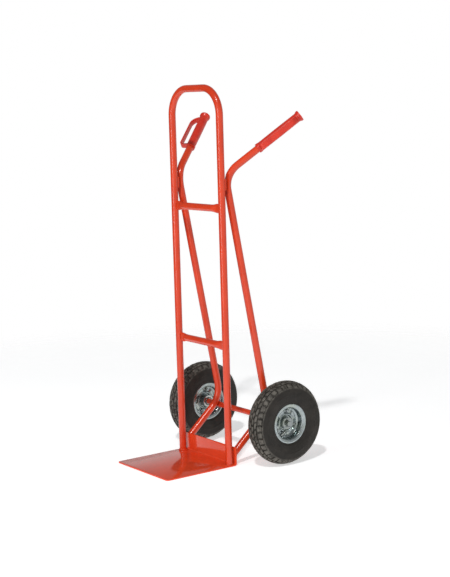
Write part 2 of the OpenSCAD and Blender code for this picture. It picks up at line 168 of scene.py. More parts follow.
def spread(
    tree: bpy.types.NodeTree,
    value: NodeInput,
    start: float,
    end: float,
    low: float = 0.0,
    high: float = 1.0,
) -> bpy.types.NodeSocket:
    """Spreads the values from start to end over low to high, and holds them there.

    Args:
        tree: The node tree.
        value: The socket to read.
        start: The value that becomes low.
        end: The value that becomes high.
        low: The result at start.
        high: The result at end.

    Returns:
        The socket of the result.
    """
    ends = {"Value": value, "From Min": start, "From Max": end, "To Min": low, "To Max": high}
    return add(tree, "ShaderNodeMapRange", ends).outputs["Result"]


def blended(
    tree: bpy.types.NodeTree, share: NodeInput, first: NodeInput, second: NodeInput
) -> bpy.types.NodeSocket:
    """A colour between two others.

    Args:
        tree: The node tree.
        share: How much of the second colour there is.
        first: The colour at a share of 0.
        second: The colour at a share of 1.

    Returns:
        The socket of the blended colour.
    """
    made = add(tree, "ShaderNodeMix", {0: share, 6: first, 7: second}, data_type="RGBA")
    return made.outputs[2]


def bumped(
    tree: bpy.types.NodeTree,
    height: NodeInput,
    depth: float,
    strength: float = 1.0,
    below: bpy.types.NodeSocket | None = None,
) -> bpy.types.NodeSocket:
    """A surface normal bumped by a height pattern.

    Args:
        tree: The node tree.
        height: The pattern's value.
        depth: How deep the bumps are, in metres.
        strength: How much of them shows.
        below: The normal of a coarser bump that this one lies on.

    Returns:
        The socket of the normal.
    """
    inputs: dict[str | int, NodeInput] = {"Height": height, "Distance": depth, "Strength": strength}
    if below is not None:
        inputs["Normal"] = below
    return add(tree, "ShaderNodeBump", inputs).outputs["Normal"]


@dataclass(frozen=True)
class BakedEnamel(Finish):
    """Baked enamel, sprayed on steel: glossy, with a faint orange peel and slightly uneven cover."""

    colour: str = "#DD431F"
    thick_colour: str = "#D23C1A"
    peel: float = 3.0 * MM
    cover: float = 70.0 * MM
    smooth: float = 0.15
    dull: float = 0.25
    scuffs: float = 0.0
    scuff_width: float = 0.8 * MM
    scuff_length: float = 60.0 * MM
    scuff_colour: str = "#E8785C"

    def dress(self, tree: bpy.types.NodeTree, shader: bpy.types.Node) -> None:
        """Adds the uneven cover, the orange peel and any scuffs.

        Args:
            tree: The material's node tree.
            shader: Its Principled shader.
        """
        place = add(tree, "ShaderNodeTexCoord").outputs["Object"]
        cover = spread(tree, noise(tree, place, self.cover, 4.0), 0.35, 0.65)
        colour = blended(tree, cover, linear(self.colour), linear(self.thick_colour))
        dull = noise(tree, place, self.cover / 4, 5.0)
        roughness = spread(tree, dull, 0.3, 0.7, self.smooth, self.dull)
        stretch = (1 / self.scuff_width, 1 / self.scuff_length, 1 / self.scuff_width)
        along = add(tree, "ShaderNodeMapping", {"Vector": place, "Scale": stretch}).outputs["Vector"]
        scuff = spread(tree, noise(tree, along, 1.0, 3.0), 0.62, 0.72, 0.0, self.scuffs)
        colour = blended(tree, scuff, colour, linear(self.scuff_colour))
        worn = add(tree, "ShaderNodeMath", {0: scuff, 1: 0.3}, operation="MULTIPLY").outputs[0]
        rough = add(tree, "ShaderNodeMath", {0: roughness, 1: worn}, operation="ADD").outputs[0]
        tree.links.new(colour, shader.inputs["Base Color"])
        tree.links.new(rough, shader.inputs["Roughness"])
        tree.links.new(bumped(tree, noise(tree, place, self.peel), 0.05 * MM, 0.22), shader.inputs["Normal"])
        shader.inputs["IOR"].default_value = 1.5
        shader.inputs["Coat Weight"].default_value = 0.12
        shader.inputs["Coat Roughness"].default_value = 0.08


@dataclass(frozen=True)
class MouldedGrip(Finish):
    """Soft PVC, moulded in a spark-eroded tool: a satin skin with a fine grain."""

    colour: str = "#DC3722"
    deep_colour: str = "#CC2E1E"
    flow: float = 25 * MM
    gloss_patch: float = 6 * MM
    sink_mark: float = 9 * MM
    grain: float = 1.1 * MM

    def dress(self, tree: bpy.types.NodeTree, shader: bpy.types.Node) -> None:
        """Adds the flow marks and the moulded grain.

        Args:
            tree: The material's node tree.
            shader: Its Principled shader.
        """
        place = add(tree, "ShaderNodeTexCoord").outputs["Object"]
        flow = spread(tree, noise(tree, place, self.flow, 3.0), 0.35, 0.7)
        colour = blended(tree, flow, linear(self.colour), linear(self.deep_colour))
        roughness = spread(tree, noise(tree, place, self.gloss_patch, 4.0), 0.3, 0.7, 0.27, 0.42)
        broad = bumped(tree, noise(tree, place, self.sink_mark), 0.15 * MM, 0.4)
        tree.links.new(colour, shader.inputs["Base Color"])
        tree.links.new(roughness, shader.inputs["Roughness"])
        grain = bumped(tree, noise(tree, place, self.grain), 0.03 * MM, 0.3, broad)
        tree.links.new(grain, shader.inputs["Normal"])
        shader.inputs["IOR"].default_value = 1.52
        shader.inputs["Subsurface Weight"].default_value = 0.08
        shader.inputs["Subsurface Radius"].default_value = (3 * MM, 0.6 * MM, 0.4 * MM)
        shader.inputs["Subsurface Scale"].default_value = 1.0


@dataclass(frozen=True)
class TreadRubber(Finish):
    """Moulded tyre rubber: brown-black and matt, greyer where the tread is worn and dusty, with painted shade
    that keeps the grooves darker.
    """

    centre: tuple[float, float, float]
    crown_centre_r: float
    crown_r: float
    shoulder_r: float
    depth: float
    groove_wear_and_shade: float = 0.4
    rubbed_patch: float = 11 * MM
    bloom_patch: float = 30 * MM
    dull_patch: float = 5 * MM
    coarse_grain: float = 3 * MM
    fine_grain: float = 0.8 * MM
    colour: str = "#1F1C18"
    rubbed_colour: str = "#68645D"
    bloom_colour: str = "#322D28"

    def dress(self, tree: bpy.types.NodeTree, shader: bpy.types.Node) -> None:
        """Adds the bloom, the worn grey tread with painted shade in its grooves, and the skin's roughness.

        Args:
            tree: The material's node tree.
            shader: Its Principled shader.
        """
        place = add(tree, "ShaderNodeTexCoord").outputs["Object"]
        radius, wear_and_groove_shade = self.tread_place(tree, place)
        on_tread = spread(tree, radius, self.shoulder_r + 0.5 * MM, self.shoulder_r + 6 * MM)
        patches = spread(tree, noise(tree, place, self.rubbed_patch, 5.0), 0.35, 0.65, 0.15, 1.0)
        share = add(tree, "ShaderNodeMath", {0: wear_and_groove_shade, 1: patches}, operation="MULTIPLY").outputs[0]
        worn_and_groove_shade = add(tree, "ShaderNodeMath", {0: share, 1: on_tread}, operation="MULTIPLY").outputs[0]
        bloom = spread(tree, noise(tree, place, self.bloom_patch, 6.0), 0.35, 0.75, 0.0, 0.8)
        colour = blended(tree, bloom, linear(self.colour), linear(self.bloom_colour))
        colour = blended(tree, worn_and_groove_shade, colour, linear(self.rubbed_colour))
        roughness = spread(tree, noise(tree, place, self.dull_patch, 4.0), 0.3, 0.7, 0.5, 0.72)
        coarse = bumped(tree, noise(tree, place, self.coarse_grain, 4.0), 0.25 * MM, 0.5)
        fine = bumped(tree, noise(tree, place, self.fine_grain, 3.0), 0.08 * MM, 0.6, coarse)
        tree.links.new(colour, shader.inputs["Base Color"])
        tree.links.new(roughness, shader.inputs["Roughness"])
        tree.links.new(fine, shader.inputs["Normal"])
        shader.inputs["IOR"].default_value = 1.52
        shader.inputs["Specular IOR Level"].default_value = 0.3

    def tread_place(
        self, tree: bpy.types.NodeTree, place: NodeInput
    ) -> tuple[bpy.types.NodeSocket, bpy.types.NodeSocket]:
        """Works out where a point lies on the tread, and how rubbed it is there.

        Args:
            tree: The material's node tree.
            place: The point's coordinates.

        Returns:
            Its distance from the axle, and how much worn grey it gets: 1 on the blocks, less in the grooves as
            painted shade.
        """
        from_centre = add(tree, "ShaderNodeVectorMath", {0: place, 1: self.centre}, operation="SUBTRACT")
        turned = {0: from_centre.outputs[0], 1: (0.0, 1.0, 1.0)}
        flat = add(tree, "ShaderNodeVectorMath", turned, operation="MULTIPLY").outputs[0]
        radius = add(tree, "ShaderNodeVectorMath", {0: flat}, operation="LENGTH").outputs["Value"]
        out = add(tree, "ShaderNodeMath", {0: radius, 1: self.crown_centre_r}, operation="SUBTRACT")
        across = add(tree, "ShaderNodeSeparateXYZ", {0: from_centre.outputs[0]}).outputs["X"]
        section = add(tree, "ShaderNodeCombineXYZ", {0: out.outputs[0], 1: across}).outputs[0]
        reach = add(tree, "ShaderNodeVectorMath", {0: section}, operation="LENGTH").outputs["Value"]
        floor_r = self.crown_r - self.depth
        # The grooves get less of the worn grey than the blocks: this darkening is painted shade in the grooves.
        wear_and_groove_shade = spread(tree, reach, floor_r + 0.5 * MM, self.crown_r - 0.6 * MM, self.groove_wear_and_shade, 1.0)
        return radius, wear_and_groove_shade


@dataclass(frozen=True)
class PlainRubber(Finish):
    """Smooth black rubber, a little dusty."""

    colour: str = "#1B1A19"
    dust_colour: str = "#33302D"
    dust_patch: float = 8 * MM
    skin: float = 2 * MM

    def dress(self, tree: bpy.types.NodeTree, shader: bpy.types.Node) -> None:
        """Adds the dust and a soft unevenness.

        Args:
            tree: The material's node tree.
            shader: Its Principled shader.
        """
        place = add(tree, "ShaderNodeTexCoord").outputs["Object"]
        dust = spread(tree, noise(tree, place, self.dust_patch, 5.0), 0.4, 0.75)
        colour = blended(tree, dust, linear(self.colour), linear(self.dust_colour))
        tree.links.new(colour, shader.inputs["Base Color"])
        tree.links.new(spread(tree, dust, 0.0, 1.0, 0.4, 0.65), shader.inputs["Roughness"])
        tree.links.new(bumped(tree, noise(tree, place, self.skin), 0.1 * MM, 0.5), shader.inputs["Normal"])
        shader.inputs["IOR"].default_value = 1.52


@dataclass(frozen=True)
class ZincPlate(Finish):
    """Bright zinc, electroplated on pressed steel: bluish, clouded, and rippled by the press."""

    colour: str = "#ADB5B6"
    cloud_colour: str = "#9AA3A5"
    tint: str = "#A9B0A2"
    cloud: float = 9 * MM
    tint_patch: float = 22 * MM
    dull_patch: float = 4 * MM
    pit: float = 0.9 * MM
    ripple: float = 26.0 * MM
    ripple_depth: float = 0.35 * MM
    smooth: float = 0.18
    dull: float = 0.3

    def dress(self, tree: bpy.types.NodeTree, shader: bpy.types.Node) -> None:
        """Adds the clouds, the passivation's tint and the press ripples.

        Args:
            tree: The material's node tree.
            shader: Its Principled shader.
        """
        place = add(tree, "ShaderNodeTexCoord").outputs["Object"]
        clouds = spread(tree, noise(tree, place, self.cloud, 5.0), 0.35, 0.65)
        tints = spread(tree, noise(tree, place, self.tint_patch, 2.0), 0.45, 0.7, 0.0, 0.7)
        colour = blended(tree, clouds, linear(self.colour), linear(self.cloud_colour))
        colour = blended(tree, tints, colour, linear(self.tint))
        dull = noise(tree, place, self.dull_patch, 5.0)
        roughness = spread(tree, dull, 0.3, 0.7, self.smooth, self.dull)
        ripples = bumped(tree, noise(tree, place, self.ripple, 1.0), self.ripple_depth, 0.6)
        pits = bumped(tree, noise(tree, place, self.pit, 3.0), 0.03 * MM, 0.4, ripples)
        tree.links.new(colour, shader.inputs["Base Color"])
        tree.links.new(roughness, shader.inputs["Roughness"])
        tree.links.new(pits, shader.inputs["Normal"])
        shader.inputs["Metallic"].default_value = 1.0


@dataclass(frozen=True)
class GroundSteel(Finish):
    """Hardened steel, ground and oiled: bright, with fine rings left by the wheel.

    The rings are drawn coarser than real ones, so that they show.
    """

    colour: str = "#C9C9C6"
    oiled_colour: str = "#A9A79F"
    ring_width: float = 0.4 * MM
    ring_length: float = 9 * MM
    oil_patch: float = 5 * MM

    def dress(self, tree: bpy.types.NodeTree, shader: bpy.types.Node) -> None:
        """Adds the grinding lines and a film of oil.

        Args:
            tree: The material's node tree.
            shader: Its Principled shader.
        """
        place = add(tree, "ShaderNodeTexCoord").outputs["Object"]
        stretch = (1 / self.ring_width, 1 / self.ring_length, 1 / self.ring_length)
        along = add(tree, "ShaderNodeMapping", {"Vector": place, "Scale": stretch}).outputs["Vector"]
        lines = noise(tree, along, 1.0, 3.0)
        film = spread(tree, noise(tree, place, self.oil_patch, 3.0), 0.35, 0.7)
        colour = blended(tree, film, linear(self.colour), linear(self.oiled_colour))
        tree.links.new(colour, shader.inputs["Base Color"])
        tree.links.new(spread(tree, lines, 0.3, 0.7, 0.14, 0.3), shader.inputs["Roughness"])
        tree.links.new(bumped(tree, lines, 0.02 * MM, 0.5), shader.inputs["Normal"])
        shader.inputs["Metallic"].default_value = 1.0


@dataclass(frozen=True)
class StudioPaper(Finish):
    """White studio floor, lit a little from behind, that fades out with distance."""

    glow: float = 0.52
    fade_start: float = 1.5
    fade_end: float = 2.6

    def dress(self, tree: bpy.types.NodeTree, shader: bpy.types.Node) -> None:
        """Adds the paper's faint tone and its fading edge.

        Args:
            tree: The material's node tree.
            shader: Its Principled shader.
        """
        place = add(tree, "ShaderNodeTexCoord").outputs["Object"]
        tone = blended(tree, noise(tree, place, 0.5, 2.0), linear("#F6F6F6"), linear("#F9F9F9"))
        distance = add(tree, "ShaderNodeVectorMath", {0: place}, operation="LENGTH").outputs["Value"]
        tree.links.new(tone, shader.inputs["Base Color"])
        tree.links.new(tone, shader.inputs["Emission Color"])
        shader.inputs["Emission Strength"].default_value = self.glow
        fade = spread(tree, distance, self.fade_start, self.fade_end, 1.0, 0.0)
        tree.links.new(fade, shader.inputs["Alpha"])
        shader.inputs["Roughness"].default_value = 0.9
        shader.inputs["Specular IOR Level"].default_value = 0.1


RED = BakedEnamel("baked_red_enamel", Slot.RED_ENAMEL)
# The toe plate wears the frame's enamel in a brighter colour: painted light that makes up for the light the
# plate gets. Its smoother gloss and its scuffs are its own.
RED_PLATE_PAINTED_BRIGHTER = BakedEnamel(
    "baked_red_enamel_plate_painted_brighter",
    Slot.RED_ENAMEL,
    colour="#E94C28",
    thick_colour="#DE4522",
    smooth=0.06,
    dull=0.12,
    scuffs=0.12,
)
GRIP = MouldedGrip("moulded_red_pvc", Slot.RED_GRIP)
ZINC = ZincPlate("bright_zinc_pressing", Slot.ZINC_RIM)
ZINC_PART = ZincPlate(
    "bright_zinc_fastener",
    Slot.ZINC_FASTENER,
    colour="#989E9F",
    cloud_colour="#8A9092",
    tint="#959A8E",
    ripple=8 * MM,
    ripple_depth=0.08 * MM,
)
STEEL = GroundSteel("ground_bearing_steel", Slot.BEARING_STEEL)
RUBBER = PlainRubber("smooth_black_rubber", Slot.TUBE_RUBBER)
PAPER = StudioPaper("white_studio_paper", None)


# ---------------------------------------------------------------- shaping


def rounded(
    corners: Sequence[tuple[float, float]], radius: float, steps: int = 3, closed: bool = False
) -> Outline:
    """Rounds the corners of an outline with arcs.

    Args:
        corners: The outline's corners.
        radius: The arcs' radius, made smaller where an edge is too short for it.
        steps: How many steps each arc has.
        closed: Whether the last corner joins the first.

    Returns:
        The outline's points.
    """
    points: Outline = []
    count = len(corners)
    for i, corner in enumerate(corners):
        here = Vector(corner)
        before, after = Vector(corners[i - 1]), Vector(corners[(i + 1) % count])
        if not closed and i in (0, count - 1):
            points.append(corner)
            continue
        into, out = (before - here), (after - here)
        half = into.angle(out) / 2
        reach = min(radius / math.tan(half), into.length * 0.45, out.length * 0.45)
        start, end = here + into.normalized() * reach, here + out.normalized() * reach
        for step in range(steps + 1):
            t = step / steps
            points.append(tuple(start * (1 - t) ** 2 + here * 2 * t * (1 - t) + end * t**2))
    return points


def route(corners: Sequence[Vector], radii: Sequence[float], step: float = 5.0) -> list[Station]:
    """Follows a bar that is bent at each of its inner corners.

    Args:
        corners: The bar's ends and corners.
        radii: The bend's radius at each inner corner.
        step: The largest angle between two stations, in degrees.

    Returns:
        The points that the bar goes through, each with its direction there.
    """
    stations = [(corners[0], (corners[1] - corners[0]).normalized())]
    for before, corner, after, radius in zip(corners, corners[1:], corners[2:], radii):
        into, out = (corner - before).normalized(), (after - corner).normalized()
        angle = into.angle(out)
        axis = into.cross(out).normalized()
        start = corner - into * radius * math.tan(angle / 2)
        centre = start + axis.cross(into) * radius
        steps = max(2, math.ceil(math.degrees(angle) / step))
        for i in range(steps + 1):
            turn = Matrix.Rotation(angle * i / steps, 3, axis)
            stations.append((centre + turn @ (start - centre), turn @ into))
    stations.append((corners[-1], (corners[-1] - corners[-2]).normalized()))
    return stations


def looped(points: Sequence[Vector]) -> list[Station]:
    """Stations round a closed path, with the first one repeated at the end.

    Args:
        points: The path's points, once round.

    Returns:
        The stations.
    """
    count = len(points)
    ways = [(points[(i + 1) % count] - points[i - 1]).normalized() for i in range(count)]
    return [(points[i % count], ways[i % count]) for i in range(count + 1)]


def straight(middle: Vector, way: Vector, length: float, steps: int) -> list[Station]:
    """Stations along a straight line.

    Args:
        middle: The line's middle.
        way: Its direction.
        length: Its length.
        steps: How many steps it has.

    Returns:
        The stations.
    """
    return [(middle + way * length * (i / steps - 0.5), way) for i in range(steps + 1)]


def frames_along(stations: Sequence[Station]) -> list[Matrix]:
    """Carries a section along a route without twisting it.

    Args:
        stations: The route.

    Returns:
        A matrix for each station that places a section made about +Z.
    """
    heading = stations[0][1]
    turn: Quaternion = heading.to_track_quat("Z", "Y")
    frames = []
    for point, along in stations:
        turn = heading.rotation_difference(along) @ turn
        heading = along
        frames.append(Matrix.Translation(point) @ turn.to_matrix().to_4x4())
    return frames


def ease(share: float) -> float:
    """Eases a share from 0 to 1, and holds it outside."""
    held = min(max(share, 0.0), 1.0)
    return held * held * (3 - 2 * held)


def ring_edges(verts: Iterable[bmesh.types.BMVert]) -> list[bmesh.types.BMEdge]:
    """The edges that join these vertices to each other."""
    chosen = set(verts)
    return list({e for v in chosen for e in v.link_edges if e.other_vert(v) in chosen})


def sweep(
    bm: bmesh.types.BMesh,
    section: Sequence[bmesh.types.BMVert],
    frames: Sequence[Matrix],
    closed: bool = False,
) -> list[bmesh.types.BMVert]:
    """Extrudes a section, which already lies at the first frame, through all the frames.

    Args:
        bm: The mesh.
        section: The section's ring of vertices.
        frames: The places to carry it through.
        closed: Whether the last frame is the first again, so that the ends are merged and not capped.

    Returns:
        The ring at the last frame.
    """
    ring = list(section)
    if not closed:
        bmesh.ops.contextual_create(bm, geom=ring_edges(ring))
    for here, there in zip(frames, frames[1:]):
        made = bmesh.ops.extrude_edge_only(bm, edges=ring_edges(ring))["geom"]
        ring = [g for g in made if isinstance(g, bmesh.types.BMVert)]
        bmesh.ops.transform(bm, matrix=there @ here.inverted(), verts=ring)
    if closed:
        bmesh.ops.remove_doubles(bm, verts=bm.verts, dist=0.01 * MM)
    else:
        bmesh.ops.contextual_create(bm, geom=ring_edges(ring))
    bmesh.ops.recalc_face_normals(bm, faces=bm.faces)
    return ring


def round_bar(
    bm: bmesh.types.BMesh, stations: Sequence[Station], radius: float, sides: int = 40
) -> None:
    """Sweeps a round bar along a route and closes its ends.

    Args:
        bm: The mesh to add to.
        stations: The route.
        radius: The bar's radius.
        sides: How many sides its section has.
    """
    frames = frames_along(stations)
    made = bmesh.ops.create_circle(bm, segments=sides, radius=radius, matrix=frames[0])
    sweep(bm, made["verts"], frames)


def lathe(
    bm: bmesh.types.BMesh, outline: Sequence[tuple[float, float]], steps: int = 64, closed: bool = True
) -> None:
    """Turns an outline of (radius, height) points once about Z.

    Args:
        bm: The mesh to add to.
        outline: The outline's points.
        steps: How many steps the full turn has.
        closed: Whether the outline's last point joins its first.
    """
    verts = [bm.verts.new((radius, 0.0, height)) for radius, height in outline]
    pairs = list(zip(verts, verts[1:])) + ([(verts[-1], verts[0])] if closed else [])
    edges = [bm.edges.new(pair) for pair in pairs]
    bmesh.ops.spin(
        bm,
        geom=verts + edges,
        cent=(0.0, 0.0, 0.0),
        axis=(0.0, 0.0, 1.0),
        angle=math.tau,
        steps=steps,
        use_merge=True,
    )
    bmesh.ops.remove_doubles(bm, verts=bm.verts, dist=0.001 * MM)
    bmesh.ops.recalc_face_normals(bm, faces=bm.faces)


def round_stub(radius: float, start: float, end: float, edge: float, steps: int) -> bmesh.types.BMesh:
    """Turns a solid round stub about Z, with its ends' edges rounded.

    Args:
        radius: The stub's radius.
        start: Its lower end.
        end: Its upper end.
        edge: The edges' radius.
        steps: How many steps the full turn has.

    Returns:
        The stub's mesh.
    """
    bm = bmesh.new()
    lathe(bm, rounded([(0.0, start), (radius, start), (radius, end), (0.0, end)], edge), steps, closed=False)
    return bm


def weld_bead(
    bm: bmesh.types.BMesh, stations: Sequence[Station], radius: float, closed: bool = False
) -> None:
    """Lays a rippled weld bead along a route.

    Args:
        bm: The mesh to add to.
        stations: The route, in steps of about a third of a ripple.
        radius: The bead's radius.
        closed: Whether the route comes back to its start.
    """
    swell = (1.0, 0.93, 0.84)
    count = len(stations) - 1
    frames = []
    for i, placed in enumerate(frames_along(stations)):
        size = swell[i % len(swell)] if i < count or not closed else swell[0]
        if not closed and i in (0, count):
            size = 0.3
        frames.append(placed @ Matrix.Diagonal((size, size, 1.0, 1.0)))
    made = bmesh.ops.create_circle(bm, segments=10, radius=radius, matrix=frames[0])
    sweep(bm, made["verts"], frames, closed)


def bevelled(
    bm: bmesh.types.BMesh,
    geom: Sequence[bmesh.types.BMVert | bmesh.types.BMEdge],
    offset: float,
    segments: int,
    affect: str = "EDGES",
) -> None:
    """Rounds edges, or the corners at vertices.

    Args:
        bm: The mesh.
        geom: The edges or vertices to round.
        offset: How far the rounding reaches.
        segments: How many steps it has.
        affect: "EDGES" or "VERTICES".
    """
    bmesh.ops.bevel(
        bm,
        geom=geom,
        offset=offset,
        offset_type="OFFSET",
        segments=segments,
        profile=0.5,
        affect=affect,
        material=-1,
    )


def placed(bm: bmesh.types.BMesh, matrix: Matrix, side: float = RIGHT) -> bmesh.types.BMesh:
    """Moves a whole mesh to its place, and mirrors it for the left side.

    Args:
        bm: The mesh.
        matrix: Its place on the right side.
        side: LEFT or RIGHT.

    Returns:
        The same mesh.
    """
    bmesh.ops.transform(bm, matrix=Matrix.Diagonal((side, 1.0, 1.0, 1.0)) @ matrix, verts=bm.verts)
    if side == LEFT:
        bmesh.ops.reverse_faces(bm, faces=bm.faces)
    return bm


def turned_over(bm: bmesh.types.BMesh) -> bmesh.types.BMesh:
    """Mirrors a mesh of the wheel's outer side to its inner side.

    Args:
        bm: The mesh, in the wheel's frame.

    Returns:
        The same mesh.
    """
    placed(bm, Matrix.Diagonal((1.0, 1.0, -1.0, 1.0)))
    bmesh.ops.reverse_faces(bm, faces=bm.faces)
    return bm


def make_piece(
    name: str,
    bm: bmesh.types.BMesh,
    finish: Finish,
    body: str,
    nodes: Sequence[str],
    sharp: float = 40.0,
) -> bpy.types.Object:
    """Turns a mesh into a dressed piece that rides on its body.

    Args:
        name: The piece's name.
        bm: Its mesh, which is freed.
        finish: Its finish.
        body: The body that it rides on.
        nodes: The frame's nodes that it stands for.
        sharp: The angle above which an edge stays sharp, in degrees.

    Returns:
        The piece's object.
    """
    mesh = bpy.data.meshes.new(name)
    bm.to_mesh(mesh)
    bm.free()
    mesh.shade_smooth()
    mesh.set_sharp_from_angle(angle=math.radians(sharp))
    mesh.materials.append(finish.material())
    piece = bpy.data.objects.new(name, mesh)
    bpy.context.scene.collection.objects.link(piece)
    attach(piece, body)
    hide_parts(*nodes)
    log.info("%s: %d faces, for %s", name, len(mesh.polygons), ", ".join(nodes))
    return piece


def dress_node(name: str, finish: Finish) -> None:
    """Gives one of the frame's own nodes a finish.

    Args:
        name: The node's name.
        finish: Its finish.
    """
    node = frame["nodes"][name]
    if not node.material_slots:
        node.data.materials.append(finish.material())
    for slot in node.material_slots:
        slot.material = finish.material()
    log.info("%s: carried over", name)


# ---------------------------------------------------------------- frame


@dataclass
class FrontFrame:
    """The hooped front tube, its two crossbars and the welds that join them."""

    bend_r: float = 82 * MM
    flat_height: float = 29 * MM
    flat_thickness: float = 10 * MM
    flat_length: float = 12 * MM
    taper_length: float = 26 * MM
    pinch: float = 1.6 * MM
    foot_bead_r: float = 2.1 * MM
    bar_bead_r: float = 1.5 * MM
    tube_r: float = field(init=False)
    rail_x: float = field(init=False)
    rail_y: float = field(init=False)
    foot_z: float = field(init=False)
    top_z: float = field(init=False)

    def __post_init__(self) -> None:
        """Reads the hoop's place from the frame."""
        low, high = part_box("front_frame")
        self.tube_r = (high.y - low.y) / 2
        self.rail_x = high.x - self.tube_r
        self.rail_y = (high.y + low.y) / 2
        self.foot_z = low.z
        self.top_z = high.z - self.tube_r - 0.01 * MM

    def hoop(self) -> None:
        """Bends the hoop from one length of tube."""
        corners = [
            Vector((LEFT * self.rail_x, self.rail_y, self.foot_z)),
            Vector((LEFT * self.rail_x, self.rail_y, self.top_z)),
            Vector((self.rail_x, self.rail_y, self.top_z)),
            Vector((self.rail_x, self.rail_y, self.foot_z)),
        ]
        bm = bmesh.new()
        round_bar(bm, route(corners, [self.bend_r, self.bend_r], 4.0), self.tube_r)
        make_piece("hoop_tube", bm, RED, "frame", ["front_frame"])

    def bar_height(self, node: str) -> float:
        """The height of a crossbar's middle."""
        low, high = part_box(node)
        return (low.z + high.z) / 2

    def crossbar(self, node: str) -> None:
        """Makes a crossbar: a tube whose ends are pressed flat and pinched against the uprights.

        Args:
            node: The crossbar's node.
        """
        height = self.bar_height(node)
        end = self.rail_x - math.sqrt(self.tube_r**2 - (self.flat_thickness / 2) ** 2) + 0.4 * MM
        taper_start = end - self.flat_length
        taper_steps = 8
        reaches = [(end, 1.0), (taper_start, 1.0)]
        for i in range(1, taper_steps + 1):
            t = i / taper_steps
            reaches.append((taper_start - self.taper_length * t, 1 - ease(t)))
        ends = reaches + [(-x, flat) for x, flat in reversed(reaches)]
        thin = self.flat_thickness / 2 / self.tube_r
        tall = self.flat_height / 2 / self.tube_r
        across = Matrix.Rotation(-math.pi / 2, 4, "Y")
        frames = []
        for x, flat in ends:
            size = (1 + (tall - 1) * flat, 1 + (thin - 1) * flat, 1.0, 1.0)
            frames.append(Matrix.Translation((x, self.rail_y, height)) @ across @ Matrix.Diagonal(size))
        bm = bmesh.new()
        made = bmesh.ops.create_circle(bm, segments=40, radius=self.tube_r, matrix=frames[0])
        sweep(bm, made["verts"], frames)
        for vert in bm.verts:
            past_taper = (abs(vert.co.x) - taper_start + self.taper_length) / self.taper_length
            flat = min(max(past_taper, 0.0), 1.0)
            off_middle = abs(vert.co.z - height) / (self.flat_height / 2)
            inwards = math.copysign(1.0, self.rail_y - vert.co.y)
            vert.co.y += inwards * self.pinch * flat * max(0.0, 1 - (off_middle / 0.7) ** 2)
        make_piece(node.replace("crossbar", "bar_tube"), bm, RED, "frame", [node])

    def welds(self) -> None:
        """Lays the beads round the uprights' feet and round the crossbars' ends."""
        feet, ends = bmesh.new(), bmesh.new()
        steps = 48
        turns = [math.tau * i / steps for i in range(steps)]
        for side in (LEFT, RIGHT):
            foot = Vector((side * self.rail_x, self.rail_y, self.foot_z + 0.6 * MM))
            reach = self.tube_r + 1.1 * MM
            circle = [foot + reach * Vector((math.cos(a), math.sin(a), 0.0)) for a in turns]
            weld_bead(feet, looped(circle), self.foot_bead_r, closed=True)
            for node in ("upper_crossbar", "lower_crossbar"):
                loop = []
                for a in turns:
                    y = (self.flat_thickness / 2 + 0.5 * MM) * math.cos(a)
                    z = (self.flat_height / 2 + 0.5 * MM) * math.sin(a)
                    x = self.rail_x - math.sqrt((self.tube_r + 0.4 * MM) ** 2 - y * y)
                    loop.append(Vector((side * x, self.rail_y + y, self.bar_height(node) + z)))
                weld_bead(ends, looped(loop), self.bar_bead_r, closed=True)
        make_piece("upright_foot_beads", feet, RED, "frame", ["rail_foot_welds"])
        make_piece("crossbar_beads", ends, RED, "frame", ["crossbar_welds"])

    def build(self) -> None:
        """Builds the hoop, the crossbars and their welds."""
        self.hoop()
        self.crossbar("upper_crossbar")
        self.crossbar("lower_crossbar")
        self.welds()


@dataclass
class ToePlate:
    """The folded toe plate with its upstand."""

    fold_r: float = 8 * MM
    corner_reach: float = 9.6 * MM
    edge_r: float = 0.6 * MM

    def drawn_out(
        self, bm: bmesh.types.BMesh, edges: Sequence[bmesh.types.BMEdge], way: tuple[float, float, float]
    ) -> list[bmesh.types.BMEdge]:
        """Draws the sheet's edge out flat.

        Args:
            bm: The sheet's mesh.
            edges: The edge that the sheet ends in.
            way: How far and in which direction it is drawn.

        Returns:
            The edge that it now ends in.
        """
        made = bmesh.ops.extrude_edge_only(bm, edges=edges)["geom"]
        verts = [g for g in made if isinstance(g, bmesh.types.BMVert)]
        bmesh.ops.translate(bm, vec=way, verts=verts)
        return ring_edges(verts)

    def build(self) -> None:
        """Folds the plate from a flat sheet, rounds its front corners and gives it its thickness."""
        low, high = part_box("toe_plate")
        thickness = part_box("front_frame")[0].z - low.z
        bm = bmesh.new()
        row = [bm.verts.new((x, low.y, low.z)) for x in (low.x, high.x)]
        fold_y, fold_z = high.y - self.fold_r, low.z + self.fold_r
        flat = self.drawn_out(bm, [bm.edges.new(row)], (0.0, fold_y - low.y, 0.0))
        folded = bmesh.ops.spin(
            bm,
            geom=flat,
            cent=(0.0, fold_y, fold_z),
            axis=(1.0, 0.0, 0.0),
            angle=math.pi / 2,
            steps=10,
        )["geom_last"]
        fold_end = [g for g in folded if isinstance(g, bmesh.types.BMEdge)]
        self.drawn_out(bm, fold_end, (0.0, 0.0, high.z - fold_z))
        front = [v for v in bm.verts if v.co.y < low.y + 1 * MM]
        bevelled(bm, front, self.corner_reach, 8, "VERTICES")
        bmesh.ops.recalc_face_normals(bm, faces=bm.faces)
        lowest = min(bm.faces, key=lambda f: f.calc_center_median().z)
        inwards = thickness if lowest.normal.z < 0 else -thickness
        bmesh.ops.solidify(bm, geom=bm.faces[:], thickness=inwards)
        bmesh.ops.recalc_face_normals(bm, faces=bm.faces)
        sharp = [e for e in bm.edges if e.is_manifold and e.calc_face_angle(0.0) > math.radians(50)]
        bevelled(bm, sharp, self.edge_r, 2)
        make_piece("folded_toe_plate", bm, RED_PLATE_PAINTED_BRIGHTER, "frame", ["toe_plate"])


